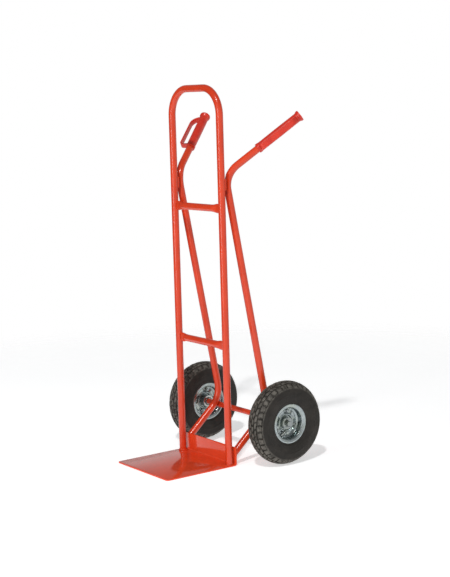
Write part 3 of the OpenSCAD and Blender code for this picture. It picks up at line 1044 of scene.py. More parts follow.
@dataclass
class RearTube:
    """A rear tube: from the upstand round the axle, up to the upright, and out as a handle."""

    side: float
    front: FrontFrame
    lean: float = math.radians(10.6)
    foot_lean: float = math.radians(48.5)
    foot_bend_r: float = 85 * MM
    axle_seat: float = math.radians(33.0)
    handle_height: float = 898 * MM
    handle_bend_r: float = 76 * MM
    splay: float = math.radians(31.5)
    rise: float = math.radians(36.5)
    grip_start: float = 125 * MM
    grip_length: float = 162 * MM
    axle_r: float = 9 * MM
    bead_offset: float = 6.6 * MM
    foot_bead_r: float = 2.2 * MM
    upright_bead_r: float = 2.7 * MM
    axle_bead_r: float = 2.3 * MM
    handle_corner: Vector = field(init=False)
    foot_corner: Vector = field(init=False)
    contact_height: float = field(init=False)

    def __post_init__(self) -> None:
        """Works out the tube's two corners from its angles, for the right-hand side."""
        axle = Vector(wheel_centre(RIGHT))
        reach = self.foot_bend_r + self.front.tube_r + self.axle_r
        centre_y = axle.y - reach * math.cos(self.axle_seat)
        centre_z = axle.z + reach * math.sin(self.axle_seat)
        top_y = centre_y + self.foot_bend_r * math.cos(self.lean)
        top_z = centre_z + self.foot_bend_r * math.sin(self.lean)
        tangent = self.foot_bend_r * math.tan((self.lean + self.foot_lean) / 2)
        x = self.front.rail_x
        down = Vector((0.0, math.sin(self.lean), -math.cos(self.lean)))
        self.foot_corner = Vector((x, top_y, top_z)) + down * tangent
        handle_y = top_y - (self.handle_height - top_z) * math.tan(self.lean)
        self.handle_corner = Vector((x, handle_y, self.handle_height))
        self.contact_height = self.handle_height - 30 * MM

    @property
    def name(self) -> str:
        """Left or right."""
        return SIDE_NAMES[self.side]

    def handle_frame(self) -> Matrix:
        """The handle's own frame: +Z along it, +X towards the knuckle guard."""
        turn = Matrix.Rotation(-self.splay, 4, "Z") @ Matrix.Rotation(self.rise - math.pi / 2, 4, "X")
        return Matrix.Translation(self.handle_corner) @ turn

    def tube(self) -> None:
        """Bends the tube, cuts its lower end flush with the upstand and closes the cut."""
        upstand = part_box("toe_plate")[1].y
        down = Vector((0.0, -math.sin(self.foot_lean), -math.cos(self.foot_lean)))
        below = (self.foot_corner.y - upstand) / math.sin(self.foot_lean) + 2 * self.front.tube_r
        foot = self.foot_corner + down * below
        end = self.handle_frame() @ Vector((0.0, 0.0, self.grip_start + self.grip_length - 5 * MM))
        corners = [foot, self.foot_corner, self.handle_corner, end]
        bm = bmesh.new()
        round_bar(bm, route(corners, [self.foot_bend_r, self.handle_bend_r], 4.0), self.front.tube_r)
        cut = bmesh.ops.bisect_plane(
            bm,
            geom=bm.verts[:] + bm.edges[:] + bm.faces[:],
            plane_co=(0.0, upstand, 0.0),
            plane_no=(0.0, 1.0, 0.0),
            clear_inner=True,
        )
        edges = [g for g in cut["geom_cut"] if isinstance(g, bmesh.types.BMEdge) and g.is_boundary]
        bmesh.ops.contextual_create(bm, geom=edges)
        bmesh.ops.recalc_face_normals(bm, faces=bm.faces)
        placed(bm, Matrix(), self.side)
        make_piece(f"{self.name}_rear_bent_tube", bm, RED, "frame", [f"{self.name}_rear_tube"])

    def welds(self, foot: bmesh.types.BMesh, seat: bmesh.types.BMesh) -> None:
        """Adds this tube's beads: at the upstand, along the upright, and along the axle.

        Args:
            foot: The mesh of the beads at the upstand and along the upright.
            seat: The mesh of the beads along the axle.
        """
        front = self.front
        steps = 60
        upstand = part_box("toe_plate")[1].y
        drop = (self.foot_corner.y - upstand) / math.tan(self.foot_lean)
        reach = front.tube_r + 0.9 * MM
        loop = [
            Vector((
                self.side * (front.rail_x + reach * math.cos(a)),
                upstand + 0.5 * MM,
                self.foot_corner.z - drop + reach / math.sin(self.foot_lean) * math.sin(a),
            ))
            for a in (math.tau * i / steps for i in range(steps))
        ]
        weld_bead(foot, looped(loop), self.foot_bead_r, closed=True)
        rail_x = self.side * front.rail_x
        up, right = Vector((0.0, 0.0, 1.0)), Vector((1.0, 0.0, 0.0))
        contact = Vector((rail_x, front.rail_y + front.tube_r, self.contact_height))
        centre = Vector(wheel_centre(RIGHT))
        across = Vector((0.0, -math.cos(self.axle_seat), math.sin(self.axle_seat)))
        along = Vector((0.0, math.sin(self.axle_seat), math.cos(self.axle_seat)))
        axle_top = Vector((rail_x, centre.y, centre.z)) + across * (self.axle_r - 1.6 * MM)
        for offset in (-self.bead_offset, self.bead_offset):
            upright_bead = straight(contact + right * offset, up, 34 * MM, 27)
            weld_bead(foot, upright_bead, self.upright_bead_r)
            axle_bead = straight(axle_top + along * offset, right, 17 * MM, 15)
            weld_bead(seat, axle_bead, self.axle_bead_r)


@dataclass
class Grip:
    """A moulded grip: sleeve, collar, end flange and knuckle guard in one piece."""

    tube: RearTube
    radius: float = 14 * MM
    length: float = 162 * MM
    collar_length: float = 9 * MM
    collar_r: float = 15 * MM
    flange_r: float = 17 * MM
    flange_length: float = 5 * MM
    flare: float = 6 * MM
    end_wall: float = 4 * MM
    guard_reach: float = 37 * MM
    guard_width: float = 18 * MM
    guard_thickness: float = 4 * MM
    guard_low: float = 10 * MM
    guard_high: float = 146 * MM
    low_bend: float = 10 * MM
    high_bend: float = 28 * MM

    def sleeve(self, bm: bmesh.types.BMesh) -> None:
        """Turns the sleeve with its collar, flange and bore.

        Args:
            bm: The mesh to add to.
        """
        bore = self.tube.front.tube_r + 0.05 * MM
        flange_start = self.length - self.flange_length
        outline = [
            (bore, 0.0),
            (self.collar_r, 0.0),
            (self.collar_r, self.collar_length),
            (self.radius, self.collar_length + 1.5 * MM),
            (self.radius + 0.3 * MM, self.length / 2),
            (self.radius, flange_start - self.flare),
            (self.flange_r, flange_start),
            (self.flange_r, self.length),
            (0.0, self.length),
            (0.0, self.length - self.end_wall),
            (bore, self.length - self.end_wall),
        ]
        turned = rounded(outline[1:8], 1.2 * MM, 4)
        lathe(bm, [outline[0], *turned, *outline[8:]], 56)

    def guard(self, bm: bmesh.types.BMesh) -> None:
        """Sweeps the knuckle guard's strap from the sleeve and back to it.

        Args:
            bm: The mesh to add to.
        """
        inside = self.radius - 2 * MM
        corners = [
            Vector((inside, 0.0, self.guard_low)),
            Vector((self.guard_reach, 0.0, self.guard_low)),
            Vector((self.guard_reach, 0.0, self.guard_high)),
            Vector((self.guard_reach - self.high_bend - 1 * MM, 0.0, self.guard_high)),
        ]
        frames = frames_along(route(corners, [self.low_bend, self.high_bend], 9.0))
        half_w, half_t = self.guard_width / 2, self.guard_thickness / 2
        box = [(-half_t, -half_w), (half_t, -half_w), (half_t, half_w), (-half_t, half_w)]
        section = [bm.verts.new((x, y, 0.0)) for x, y in rounded(box, 1.4 * MM, 3, closed=True)]
        for pair in zip(section, section[1:] + section[:1]):
            bm.edges.new(pair)
        to_strap = Matrix.Rotation(math.pi / 2, 4, "Y")
        bmesh.ops.transform(bm, matrix=Matrix.Translation(corners[0]) @ to_strap, verts=section)
        carry = [placed_at @ frames[0].inverted() for placed_at in frames]
        sweep(bm, section, carry)

    def build(self) -> None:
        """Joins the sleeve and the guard into one moulding."""
        name = self.tube.name
        sleeve, guard = bmesh.new(), bmesh.new()
        self.sleeve(sleeve)
        self.guard(guard)
        place = self.tube.handle_frame() @ Matrix.Translation((0.0, 0.0, self.tube.grip_start))
        fused = fuse(f"{name}_grip_moulding", [placed(bm, place, self.tube.side) for bm in (sleeve, guard)])
        make_piece(f"{name}_grip_moulding", fused, GRIP, "frame", [f"{name}_grip"], 50.0)


def fuse(name: str, meshes: Sequence[bmesh.types.BMesh]) -> bmesh.types.BMesh:
    """Unites closed meshes into one.

    Args:
        name: A name for the meshes while they are united.
        meshes: The meshes, which are freed.

    Returns:
        The united mesh.
    """
    objects = []
    for bm in meshes:
        mesh = bpy.data.meshes.new(name)
        bm.to_mesh(mesh)
        bm.free()
        part = bpy.data.objects.new(name, mesh)
        bpy.context.scene.collection.objects.link(part)
        objects.append(part)
    for other in objects[1:]:
        union = objects[0].modifiers.new("union", "BOOLEAN")
        union.operation = "UNION"
        union.solver = "EXACT"
        union.object = other
    bpy.context.view_layer.update()
    whole = objects[0].evaluated_get(bpy.context.evaluated_depsgraph_get())
    bm = bmesh.new()
    bm.from_mesh(whole.to_mesh())
    whole.to_mesh_clear()
    for part in objects:
        mesh = part.data
        bpy.data.objects.remove(part)
        bpy.data.meshes.remove(mesh)
    return bm


# ---------------------------------------------------------------- wheels


def wheel_centre(side: float) -> tuple[float, float, float]:
    """A wheel's centre, from its joint.

    Args:
        side: LEFT or RIGHT.

    Returns:
        The centre's coordinates.
    """
    wanted = f"{SIDE_NAMES[side]}_wheel_spin"
    found = [joint for joint in frame["joints"] if joint["name"] == wanted]
    return tuple(found[0]["pos_m"])


def wheel_frame() -> Matrix:
    """The right-hand wheel's own frame, with +Z outwards."""
    return Matrix.Translation(wheel_centre(RIGHT)) @ Matrix.Rotation(math.pi / 2, 4, "Y")


@dataclass
class AxleBar:
    """The painted axle with its bare journals, washers and split pins."""

    bar_r: float = 9 * MM
    journal_r: float = 8 * MM
    shoulder: float = 186 * MM
    end: float = 242 * MM
    pin_x: float = 236 * MM
    wire_r: float = 0.8 * MM
    small_washer_r: float = 11.3 * MM
    large_washer_r: float = 19 * MM
    washer_thickness: float = 2 * MM

    def along_axle(self) -> Matrix:
        """A frame at the axle's middle with +Z to the right."""
        centre = wheel_centre(RIGHT)
        return Matrix.Translation((0.0, centre[1], centre[2])) @ Matrix.Rotation(math.pi / 2, 4, "Y")

    def bar(self) -> None:
        """Turns the painted bar and its two bare journals."""
        painted = round_stub(self.bar_r, -self.shoulder, self.shoulder, 0.6 * MM, 40)
        make_piece("axle_bar", placed(painted, self.along_axle()), RED, "frame", ["axle"])
        bare = round_stub(self.journal_r, self.shoulder - 5 * MM, self.end, 1.2 * MM, 40)
        twin = bare.copy()
        placed(bare, self.along_axle())
        placed(twin, self.along_axle(), LEFT)
        make_piece("right_axle_journal", bare, ZINC_PART, "frame", ["axle"])
        make_piece("left_axle_journal", twin, ZINC_PART, "frame", ["axle"])

    def washers(self) -> None:
        """Turns the four thrust washers."""
        bm = bmesh.new()
        hole = self.journal_r + 0.1 * MM
        for outer, start in ((self.small_washer_r, -30 * MM), (self.large_washer_r, 14.4 * MM)):
            end = start + self.washer_thickness
            ring = [(hole, start), (outer, start), (outer, end), (hole, end)]
            lathe(bm, rounded(ring, 0.4 * MM, 3, closed=True), 56)
        both_sides("thrust_washers", bm, ZINC_PART, "frame", ["axle_washers"])

    def pins(self) -> None:
        """Bends the split pins: two legs through the axle, an eye above and spread ends below."""
        gap = self.wire_r
        eye_r = 3.6 * MM
        top = self.journal_r + 2 * MM
        bottom = -self.journal_r - 1 * MM
        spread_out = 7 * MM
        drop = 4 * MM
        right_half = [
            Vector((0.0, spread_out, bottom - drop)),
            Vector((0.0, gap, bottom)),
            Vector((0.0, gap, top)),
            Vector((0.0, eye_r + gap, top + eye_r)),
            Vector((0.0, 0.0, top + 2.6 * eye_r)),
        ]
        left_half = [Vector((0.0, -p.y, p.z)) for p in reversed(right_half[:-1])]
        bends = [1.5 * MM, 1.5 * MM, 2.2 * MM, 2.6 * MM, 2.2 * MM, 1.5 * MM, 1.5 * MM]
        bm = bmesh.new()
        round_bar(bm, route(right_half + left_half, bends, 20.0), self.wire_r, 12)
        centre = wheel_centre(RIGHT)
        placed(bm, Matrix.Translation((self.pin_x, centre[1], centre[2])))
        pair = [bm, placed(bm.copy(), Matrix(), LEFT)]
        make_piece("split_pin_pair", joined(pair), ZINC_PART, "frame", ["split_pins"])

    def build(self) -> None:
        """Builds the axle and what holds the wheels on it."""
        self.bar()
        self.washers()
        self.pins()
        for side in SIDE_NAMES.values():
            dress_node(f"{side}_inner_races", STEEL)
            dress_node(f"{side}_bearing_spacer", ZINC_PART)


def joined(meshes: Sequence[bmesh.types.BMesh]) -> bmesh.types.BMesh:
    """Puts meshes together as separate shells of one.

    Args:
        meshes: The meshes; all but the first are freed.

    Returns:
        The first mesh, with the others added to it.
    """
    whole = meshes[0]
    for other in meshes[1:]:
        carrier = bpy.data.meshes.new("carrier")
        other.to_mesh(carrier)
        other.free()
        whole.from_mesh(carrier)
        bpy.data.meshes.remove(carrier)
    return whole


def both_sides(name: str, bm: bmesh.types.BMesh, finish: Finish, body: str, nodes: Sequence[str]) -> None:
    """Makes one piece of a mesh in the wheel's frame and its mirror image on the left.

    Args:
        name: The piece's name.
        bm: The mesh.
        finish: Its finish.
        body: The body that it rides on.
        nodes: The nodes that it stands for.
    """
    twin = bm.copy()
    pair = [placed(bm, wheel_frame(), RIGHT), placed(twin, wheel_frame(), LEFT)]
    make_piece(name, joined(pair), finish, body, nodes)


@dataclass
class Tyre:
    """A tyre's section and its tread."""

    radius: float = 130 * MM
    half_width: float = 36.5 * MM
    seat_r: float = 51 * MM
    lip_r: float = 61.9 * MM
    lip_z: float = 28.5 * MM
    wall: float = 5 * MM
    side_centre_r: float = 96 * MM
    shoulder_r: float = 108 * MM
    bead_z: float = 17 * MM
    bead_thickness: float = 4 * MM
    tread_depth: float = 4 * MM
    crown_share: float = 0.55
    pitches: int = 36
    steps_per_pitch: int = 10
    side_r: float = field(init=False)
    shoulder_z: float = field(init=False)
    crown_r: float = field(init=False)

    def __post_init__(self) -> None:
        """Works out the sidewall's and the crown's arcs."""
        drop = self.side_centre_r - self.lip_r
        bulge = self.half_width - self.lip_z
        self.side_r = (drop**2 + bulge**2) / (2 * bulge)
        rise = self.shoulder_r - self.side_centre_r
        self.shoulder_z = self.half_width - self.side_r + math.sqrt(self.side_r**2 - rise**2)
        height = self.radius - self.shoulder_r
        self.crown_r = (height**2 + self.shoulder_z**2) / (2 * height)

    def on_side(self, angle: float, lift: float = 0.0) -> tuple[float, float]:
        """A point of the sidewall's arc, in degrees from the tread towards the bead.

        Args:
            angle: The place along the arc.
            lift: How far the point stands out from it.

        Returns:
            Its radius and its distance from the middle plane.
        """
        reach = self.side_r + lift
        turn = math.radians(angle)
        return (
            self.side_centre_r + reach * math.cos(turn),
            self.half_width - self.side_r + reach * math.sin(turn),
        )

    def on_crown(self, arc: float, depth: float) -> tuple[float, float]:
        """A point of the crown, by its distance along the tread from the middle.

        Args:
            arc: The distance from the middle line.
            depth: How far the point lies below the tread's surface.

        Returns:
            Its radius and its distance from the middle plane.
        """
        turn = arc / self.crown_r
        reach = self.crown_r - depth
        return self.radius - self.crown_r + reach * math.cos(turn), reach * math.sin(turn)

    def half_outline(self) -> Outline:
        """The outer half of the section, from the bead to the middle of the tread."""
        start = math.degrees(math.acos((self.lip_r - self.side_centre_r) / self.side_r))
        end = math.degrees(math.acos((self.shoulder_r - self.side_centre_r) / self.side_r))
        ribs = ((start - 6.0, 0.9 * MM), (start - 38.0, 0.5 * MM), (end + 12.0, 0.6 * MM))
        stops: dict[float, float] = {start: 0.0, end: 0.0}
        for i in range(1, 13):
            stops[start + (end - start) * i / 13] = 0.0
        for at, lift in ribs:
            for offset in (-2.2, 2.2):
                stops[at + offset] = 0.0
            for offset in (-1.2, 1.2):
                stops[at + offset] = lift
        side = []
        for angle in sorted(stops, reverse=True):
            in_rib = [lift for at, lift in ribs if abs(angle - at) < 1.3]
            side.append(self.on_side(angle, in_rib[0] if in_rib else 0.0))
        crown = [self.on_crown(arc, self.tread_depth) for arc in reversed(self.row_edges())]
        bead = [(self.seat_r, self.bead_z), (self.seat_r, 24.6 * MM), (self.lip_r, 26.9 * MM)]
        return [*bead, *side, *crown]

    def row_edges(self) -> list[float]:
        """The distances from the middle line at which the tread's rows begin and end."""
        rows = ((0.9, 9.0, 3), (11.4, 20.4, 3), (22.6, 41.6, 5))
        return [(start + (end - start) * i / n) * MM for start, end, n in rows for i in range(n + 1)]

    def raised(self, arc: float, turn: float) -> bool:
        """Whether the tread has a block there.

        Args:
            arc: The signed distance from the middle line.
            turn: The place round the tyre, in pitches.

        Returns:
            True on a block.
        """
        reach = abs(arc)
        rows = ((0.9, 9.0, 0.0, 0.8), (11.4, 20.4, 0.5, 0.8), (22.6, 41.6, 0.05, 0.8))
        stagger = 0.5 if arc > 0 else 0.0
        for start, end, shift, share in rows:
            if start * MM < reach < end * MM:
                return (turn + shift + stagger) % 1.0 < share
        return False

    def slant(self, arc: float) -> float:
        """How far the blocks' ends lean round the tyre at a distance from the middle, in pitches."""
        leans = ((0.0, 0.0), (10.2, 0.25), (21.5, 0.0), (44.0, 0.1))
        reach = abs(arc) / MM
        for (start, low), (end, high) in zip(leans, leans[1:]):
            if reach <= end:
                return low + (high - low) * (reach - start) / (end - start)
        return leans[-1][1]

    def is_block(self, point: Vector) -> bool:
        """Whether a point lies on the tread's floor where a block stands.

        Args:
            point: The point, in the wheel's frame.

        Returns:
            True under a block.
        """
        centre_r = self.radius - self.crown_r
        floor_r = self.crown_r - self.tread_depth
        out = math.hypot(point.x, point.y)
        off_floor = math.hypot(out - centre_r, point.z) - floor_r
        if out < centre_r + floor_r * self.crown_share or abs(off_floor) > 0.5 * MM:
            return False
        return self.raised(self.arc_of(point), math.atan2(point.y, point.x) / math.tau * self.pitches)

    def arc_of(self, point: Vector) -> float:
        """The signed distance along the tread from the middle line to a point."""
        out = math.hypot(point.x, point.y) - (self.radius - self.crown_r)
        return math.atan2(point.z, out) * self.crown_r

    def build(self, side: float) -> None:
        """Turns the carcass, leans its rows and raises the tread's blocks.

        Args:
            side: LEFT or RIGHT.
        """
        half = self.half_outline()
        outer = half + [(r, -z) for r, z in reversed(half)]
        round_hollow = [self.hollow_point(math.radians(a)) for a in range(-150, 151, 20)]
        bead_r = self.seat_r + self.bead_thickness
        hollow = [(bead_r, -self.bead_z), *round_hollow, (bead_r, self.bead_z)]
        bm = bmesh.new()
        lathe(bm, outer + hollow, self.pitches * self.steps_per_pitch)
        blocks = [face for face in bm.faces if self.is_block(face.calc_center_median())]
        for vert in bm.verts:
            if math.hypot(vert.co.x, vert.co.y) > self.shoulder_r:
                lean = self.slant(self.arc_of(vert.co)) * math.tau / self.pitches
                vert.co = Matrix.Rotation(lean, 3, "Z") @ vert.co
        bmesh.ops.inset_region(
            bm,
            faces=blocks,
            use_boundary=True,
            use_even_offset=True,
            thickness=0.7 * MM,
            depth=self.tread_depth,
        )
        tops = set(blocks)
        rims = [e for e in bm.edges if len(e.link_faces) == 2 and len(tops.intersection(e.link_faces)) == 1]
        bevelled(bm, rims, 0.45 * MM, 1)
        name = SIDE_NAMES[side]
        rubber = TreadRubber(
            f"{name}_moulded_tyre_rubber",
            Slot.TYRE_RUBBER,
            centre=wheel_centre(side),
            crown_centre_r=self.radius - self.crown_r,
            crown_r=self.crown_r,
            shoulder_r=self.shoulder_r,
            depth=self.tread_depth,
        )
        placed(bm, wheel_frame(), side)
        make_piece(f"{name}_tyre_treaded", bm, rubber, f"{name}_wheel", [f"{name}_tyre"])

    def hollow_point(self, turn: float) -> tuple[float, float]:
        """A point of the hollow's round section, seen from its centre.

        Args:
            turn: The direction, from straight out towards the outer side.

        Returns:
            Its radius and its distance from the middle plane.
        """
        centre_r = self.side_centre_r
        reach = self.half_width - self.wall - self.tread_depth
        return centre_r + reach * math.cos(turn), reach * math.sin(turn)


@dataclass
class Rim:
    """A pressed rim half, with its lobed web, and what bolts it to the other."""

    sheet: float = 2 * MM
    seat_r: float = 50.8 * MM
    lip_r: float = 61.5 * MM
    lip_z: float = 29.5 * MM
    hub_r: float = 20 * MM
    bolt_circle: float = 37 * MM
    bolts: int = 4
    bolt_turn: float = math.radians(164.0)
    lobe_height: float = 4.5 * MM
    hex_r: float = 5.8 * MM

    def half(self) -> bmesh.types.BMesh:
        """Presses one rim half, in the wheel's frame on the outer side."""
        face = [
            (self.hub_r + 0.1 * MM, 4 * MM),
            (self.hub_r + 2.6 * MM, 4 * MM),
            (25 * MM, 9 * MM),
            (28 * MM, 9 * MM),
            (31 * MM, self.sheet),
            (44 * MM, self.sheet),
            (self.seat_r - self.sheet, 6 * MM),
            (self.seat_r - self.sheet, 24.5 * MM),
            (self.seat_r + 1.2 * MM, 27.2 * MM),
            (self.lip_r - 3.5 * MM, self.lip_z),
            (self.lip_r, self.lip_z - 0.2 * MM),
            (self.lip_r, self.lip_z - 2.2 * MM),
        ]
        fine: Outline = []
        curve = rounded(face, 2.2 * MM, 4)
        for start, end in zip(curve, curve[1:]):
            parts = max(1, round(math.dist(start, end) / (1.6 * MM)))
            fine += [tuple(Vector(start).lerp(Vector(end), i / parts)) for i in range(parts)]
        fine.append(curve[-1])
        bm = bmesh.new()
        lathe(bm, fine, 120, closed=False)
        for vert in bm.verts:
            vert.co.z += self.lobe(vert.co)
        outwards = max(bm.faces, key=lambda f: f.calc_center_median().z)
        if outwards.normal.z < 0:
            bmesh.ops.reverse_faces(bm, faces=bm.faces)
        bm.normal_update()
        bmesh.ops.solidify(bm, geom=bm.faces[:], thickness=self.sheet * 0.8)
        bmesh.ops.recalc_face_normals(bm, faces=bm.faces)
        return bm

    def lobe(self, point: Vector) -> float:
        """How far the web is pressed out at a point: four lobes stand between the bolts.

        Args:
            point: The point, in the wheel's frame.

        Returns:
            The height of the pressing there.
        """
        reach = math.hypot(point.x, point.y)
        turn = math.atan2(point.y, point.x) - self.bolt_turn
        part = math.tau / self.bolts
        from_lobe = abs((turn / part) % 1.0 - 0.5) * part
        across = ease((math.radians(27) - from_lobe) / math.radians(9))
        inner = ease((reach - 28.5 * MM) / (2.5 * MM))
        outer = ease((43.5 * MM - reach) / (3.5 * MM))
        return self.lobe_height * across * inner * outer

    def hexagon(self, bottom: float, height: float) -> bmesh.types.BMesh:
        """Makes a chamfered hexagon with its flange for each bolt of the circle.

        Args:
            bottom: Its lower face's distance from the middle plane.
            height: Its height.

        Returns:
            The hexagons' mesh.
        """
        meshes = []
        for i in range(self.bolts):
            bm = round_stub(self.hex_r * 1.12, 0.0, 1 * MM, 0.2 * MM, 24)
            made = bmesh.ops.create_circle(bm, cap_ends=True, segments=6, radius=self.hex_r)
            face = list({f for v in made["verts"] for f in v.link_faces})
            grown = bmesh.ops.extrude_face_region(bm, geom=face)
            lifted = [g for g in grown["geom"] if isinstance(g, bmesh.types.BMVert)]
            bmesh.ops.translate(bm, vec=(0.0, 0.0, height), verts=lifted)
            bevelled(bm, ring_edges(lifted), 0.7 * MM, 2)
            bmesh.ops.recalc_face_normals(bm, faces=bm.faces)
            tightened = Matrix.Rotation(self.bolt_angle(i) + i, 4, "Z")
            meshes.append(placed(bm, self.bolt_place(i, bottom) @ tightened))
        return joined(meshes)

    def bolt_angle(self, i: int) -> float:
        """The direction of a bolt from the wheel's centre."""
        return self.bolt_turn + math.tau * i / self.bolts

    def bolt_place(self, i: int, height: float) -> Matrix:
        """The place of a bolt at a height above the middle plane."""
        outwards = Vector((self.bolt_circle, 0.0, height))
        return Matrix.Translation(Matrix.Rotation(self.bolt_angle(i), 3, "Z") @ outwards)

    def build(self, side: float) -> None:
        """Builds a wheel's two rim halves, its bolts and its nuts.

        Args:
            side: LEFT or RIGHT.
        """
        name = SIDE_NAMES[side]
        nuts = [self.hexagon(self.sheet, 5 * MM)]
        for i in range(self.bolts):
            shank = round_stub(3 * MM, 5 * MM, 9.4 * MM, 0.6 * MM, 20)
            nuts.append(placed(shank, self.bolt_place(i, 0.0)))
        pieces = (
            ("outer_rim_pressing", self.half(), ZINC, "outer_rim"),
            ("inner_rim_pressing", turned_over(self.half()), ZINC, "inner_rim"),
            ("hex_bolts", self.hexagon(self.sheet, 4.5 * MM), ZINC_PART, "rim_bolts"),
            ("hex_nuts", turned_over(joined(nuts)), ZINC_PART, "rim_nuts"),
        )
        for piece, bm, finish, node in pieces:
            placed(bm, wheel_frame(), side)
            make_piece(f"{name}_{piece}", bm, finish, f"{name}_wheel", [f"{name}_{node}"])


@dataclass
class Hub:
    """The hub tube, the valve and the bearings that show at the hub's ends."""

    radius: float = 20 * MM
    inner_end: float = -28 * MM
    outer_end: float = 14 * MM
    bore: float = 16 * MM
    seat: float = 17.55 * MM
    seat_depth: float = 11 * MM
    valve_turn: float = math.radians(-40.0)
    valve_r: float = 4.2 * MM

    def tube(self) -> bmesh.types.BMesh:
        """Turns the hub tube with its two bearing seats."""
        outline = [
            (self.radius, self.inner_end),
            (self.radius, self.outer_end),
            (self.seat, self.outer_end),
            (self.seat, self.outer_end - self.seat_depth),
            (self.bore, self.outer_end - self.seat_depth),
            (self.bore, self.inner_end + self.seat_depth),
            (self.seat, self.inner_end + self.seat_depth),
            (self.seat, self.inner_end),
        ]
        bm = bmesh.new()
        lathe(bm, rounded(outline, 0.6 * MM, 3, closed=True), 64)
        return bm

    def valve_frame(self) -> Matrix:
        """The valve's own frame in the wheel's, with +Z along its stem."""
        start, end = Vector((54.8 * MM, 0.0, 9 * MM)), Vector((34 * MM, 0.0, 24 * MM))
        lean = (end - start).to_track_quat("Z", "Y").to_matrix().to_4x4()
        return Matrix.Rotation(self.valve_turn, 4, "Z") @ Matrix.Translation(start) @ lean

    def valve(self) -> bmesh.types.BMesh:
        """Turns the valve's plated stem with its root."""
        r = self.valve_r
        outline = [
            (0.0, 0.0),
            (r * 1.5, 0.0),
            (r * 1.4, 3 * MM),
            (r, 7 * MM),
            (r, 20 * MM),
            (r * 0.85, 25.6 * MM),
            (0.0, 25.6 * MM),
        ]
        bm = bmesh.new()
        lathe(bm, rounded(outline, 0.6 * MM, 3), 32, closed=False)
        return bm

    def cap(self) -> bmesh.types.BMesh:
        """Turns the valve's cap, ribbed round its skirt."""
        steps = 48
        bm = round_stub(4.8 * MM, 25.7 * MM, 31.6 * MM, 0.7 * MM, steps)
        grooves = []
        for face in bm.faces:
            turn = math.atan2(*face.calc_center_median().yx) / math.tau * steps
            if abs(face.normal.z) < 0.1 and round(turn - 0.5) % 3 == 0:
                grooves.append(face)
        bmesh.ops.inset_region(
            bm,
            faces=grooves,
            use_boundary=True,
            use_even_offset=True,
            thickness=0.1 * MM,
            depth=-0.4 * MM,
        )
        return bm

    def build(self, side: float) -> None:
        """Builds a wheel's hub and valve, and dresses its bearings and inner tube.

        Args:
            side: LEFT or RIGHT.
        """
        name = SIDE_NAMES[side]
        at_valve = wheel_frame() @ self.valve_frame()
        pieces = (
            ("hub_tube", self.tube(), wheel_frame(), ZINC, "hub"),
            ("valve_stem", self.valve(), at_valve, ZINC_PART, "valve"),
            ("ribbed_cap", self.cap(), at_valve, ZINC_PART, "valve_cap"),
        )
        for piece, bm, place, finish, node in pieces:
            placed(bm, place, side)
            make_piece(f"{name}_{piece}", bm, finish, f"{name}_wheel", [f"{name}_{node}"])
        dress_node(f"{name}_inner_tube", RUBBER)
        dress_node(f"{name}_outer_races", STEEL)
        dress_node(f"{name}_balls", STEEL)


# ---------------------------------------------------------------- studio


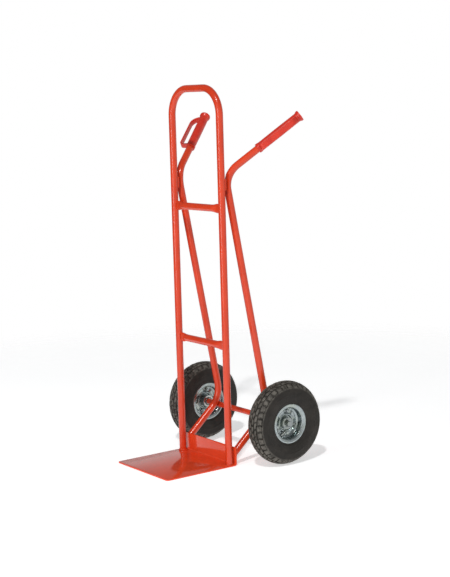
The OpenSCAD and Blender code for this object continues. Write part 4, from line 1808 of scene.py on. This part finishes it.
@dataclass
class Studio:
    """The floor, the lights, the sky and the camera."""

    camera_at: tuple[float, float, float] = (3.4177, -2.4041, 1.1187)
    yaw: float = math.radians(54.051)
    pitch: float = math.radians(-7.911)
    roll: float = math.radians(-1.607)
    lens: float = 84.37
    floor_r: float = 2.7
    middle: Vector = field(default_factory=lambda: Vector((0.0, 0.0, 0.55)))

    def camera(self) -> None:
        """Sets up the camera."""
        forward = Vector((
            -math.sin(self.yaw) * math.cos(self.pitch),
            math.cos(self.yaw) * math.cos(self.pitch),
            math.sin(self.pitch),
        ))
        level = Vector((math.cos(self.yaw), math.sin(self.yaw), 0.0))
        turn = Matrix.Rotation(-self.roll, 3, forward)
        right = turn @ level
        up = right.cross(forward)
        rotation = Matrix((right, up, -forward)).transposed().to_4x4()
        data = bpy.data.cameras.new("view")
        data.lens = self.lens
        data.clip_end = 50.0
        camera = bpy.data.objects.new("view", data)
        camera.matrix_world = Matrix.Translation(self.camera_at) @ rotation
        bpy.context.scene.collection.objects.link(camera)
        bpy.context.scene.camera = camera

    def lamp(self, name: str, at: Vector, size: tuple[float, float], power: float) -> None:
        """Hangs a soft light that faces the truck.

        Args:
            name: The light's name.
            at: Its place.
            size: Its width and height.
            power: Its power in watts.
        """
        data = bpy.data.lights.new(name, "AREA")
        data.shape = "RECTANGLE"
        data.size, data.size_y = size
        data.energy = power
        lamp = bpy.data.objects.new(name, data)
        aim = self.middle - at
        lamp.matrix_world = Matrix.Translation(at) @ aim.to_track_quat("-Z", "Y").to_matrix().to_4x4()
        lamp.visible_camera = False
        bpy.context.scene.collection.objects.link(lamp)

    def sky(self) -> None:
        """Makes the surroundings: white to the eye, and a soft grey that the truck reflects."""
        world = bpy.data.worlds.new("studio")
        bpy.context.scene.world = world
        world.use_nodes = True
        tree = world.node_tree
        tree.nodes.clear()
        ray = add(tree, "ShaderNodeLightPath").outputs["Is Camera Ray"]
        way = add(tree, "ShaderNodeTexCoord").outputs["Generated"]
        height = add(tree, "ShaderNodeSeparateXYZ", {0: way}).outputs["Z"]
        tone = blended(tree, spread(tree, height, 0.1, 0.75), linear("#FFFFFF"), linear("#86898B"))
        left = add(tree, "ShaderNodeVectorMath", {0: way, 1: (-0.85, -0.53, 0.0)}, operation="DOT_PRODUCT")
        tone = blended(tree, spread(tree, left.outputs["Value"], 0.3, 0.9), tone, linear("#6A6D70"))
        around = add(tree, "ShaderNodeBackground", {"Color": tone, "Strength": 0.7}).outputs[0]
        seen = add(tree, "ShaderNodeBackground", {"Color": linear("#FFFFFF"), "Strength": 1.0}).outputs[0]
        mixed = add(tree, "ShaderNodeMixShader", {0: ray, 1: around, 2: seen}).outputs[0]
        add(tree, "ShaderNodeOutputWorld", {"Surface": mixed})

    def floor(self) -> None:
        """Lays the floor."""
        bm = bmesh.new()
        bmesh.ops.create_circle(bm, cap_ends=True, segments=96, radius=self.floor_r)
        mesh = bpy.data.meshes.new("studio_floor")
        bm.to_mesh(mesh)
        bm.free()
        mesh.materials.append(PAPER.material())
        floor = bpy.data.objects.new("studio_floor", mesh)
        bpy.context.scene.collection.objects.link(floor)

    def build(self) -> None:
        """Builds the studio."""
        bpy.context.scene.view_settings.view_transform = "Standard"
        self.camera()
        self.sky()
        self.floor()
        self.lamp("key", self.middle + Vector((4.2, -4.5, 7.9)), (0.5, 0.5), 430.0)
        self.lamp("side_strip", Vector((0.6, -3.14, 0.95)), (0.8, 1.9), 27.0)


def main() -> None:
    """Builds the truck and its studio."""
    logging.basicConfig(level=logging.INFO, format="%(message)s")
    Studio().build()
    front = FrontFrame()
    front.build()
    ToePlate().build()
    foot_beads, seat_beads = bmesh.new(), bmesh.new()
    for side in (LEFT, RIGHT):
        tube = RearTube(side, front)
        tube.tube()
        tube.welds(foot_beads, seat_beads)
        Grip(tube).build()
    make_piece("rear_tube_beads", foot_beads, RED, "frame", ["rear_tube_welds"])
    make_piece("axle_beads", seat_beads, RED, "frame", ["axle_welds"])
    AxleBar().build()
    for side in (LEFT, RIGHT):
        Tyre().build(side)
        Rim().build(side)
        Hub().build(side)


if __name__ == "__main__":
    main()
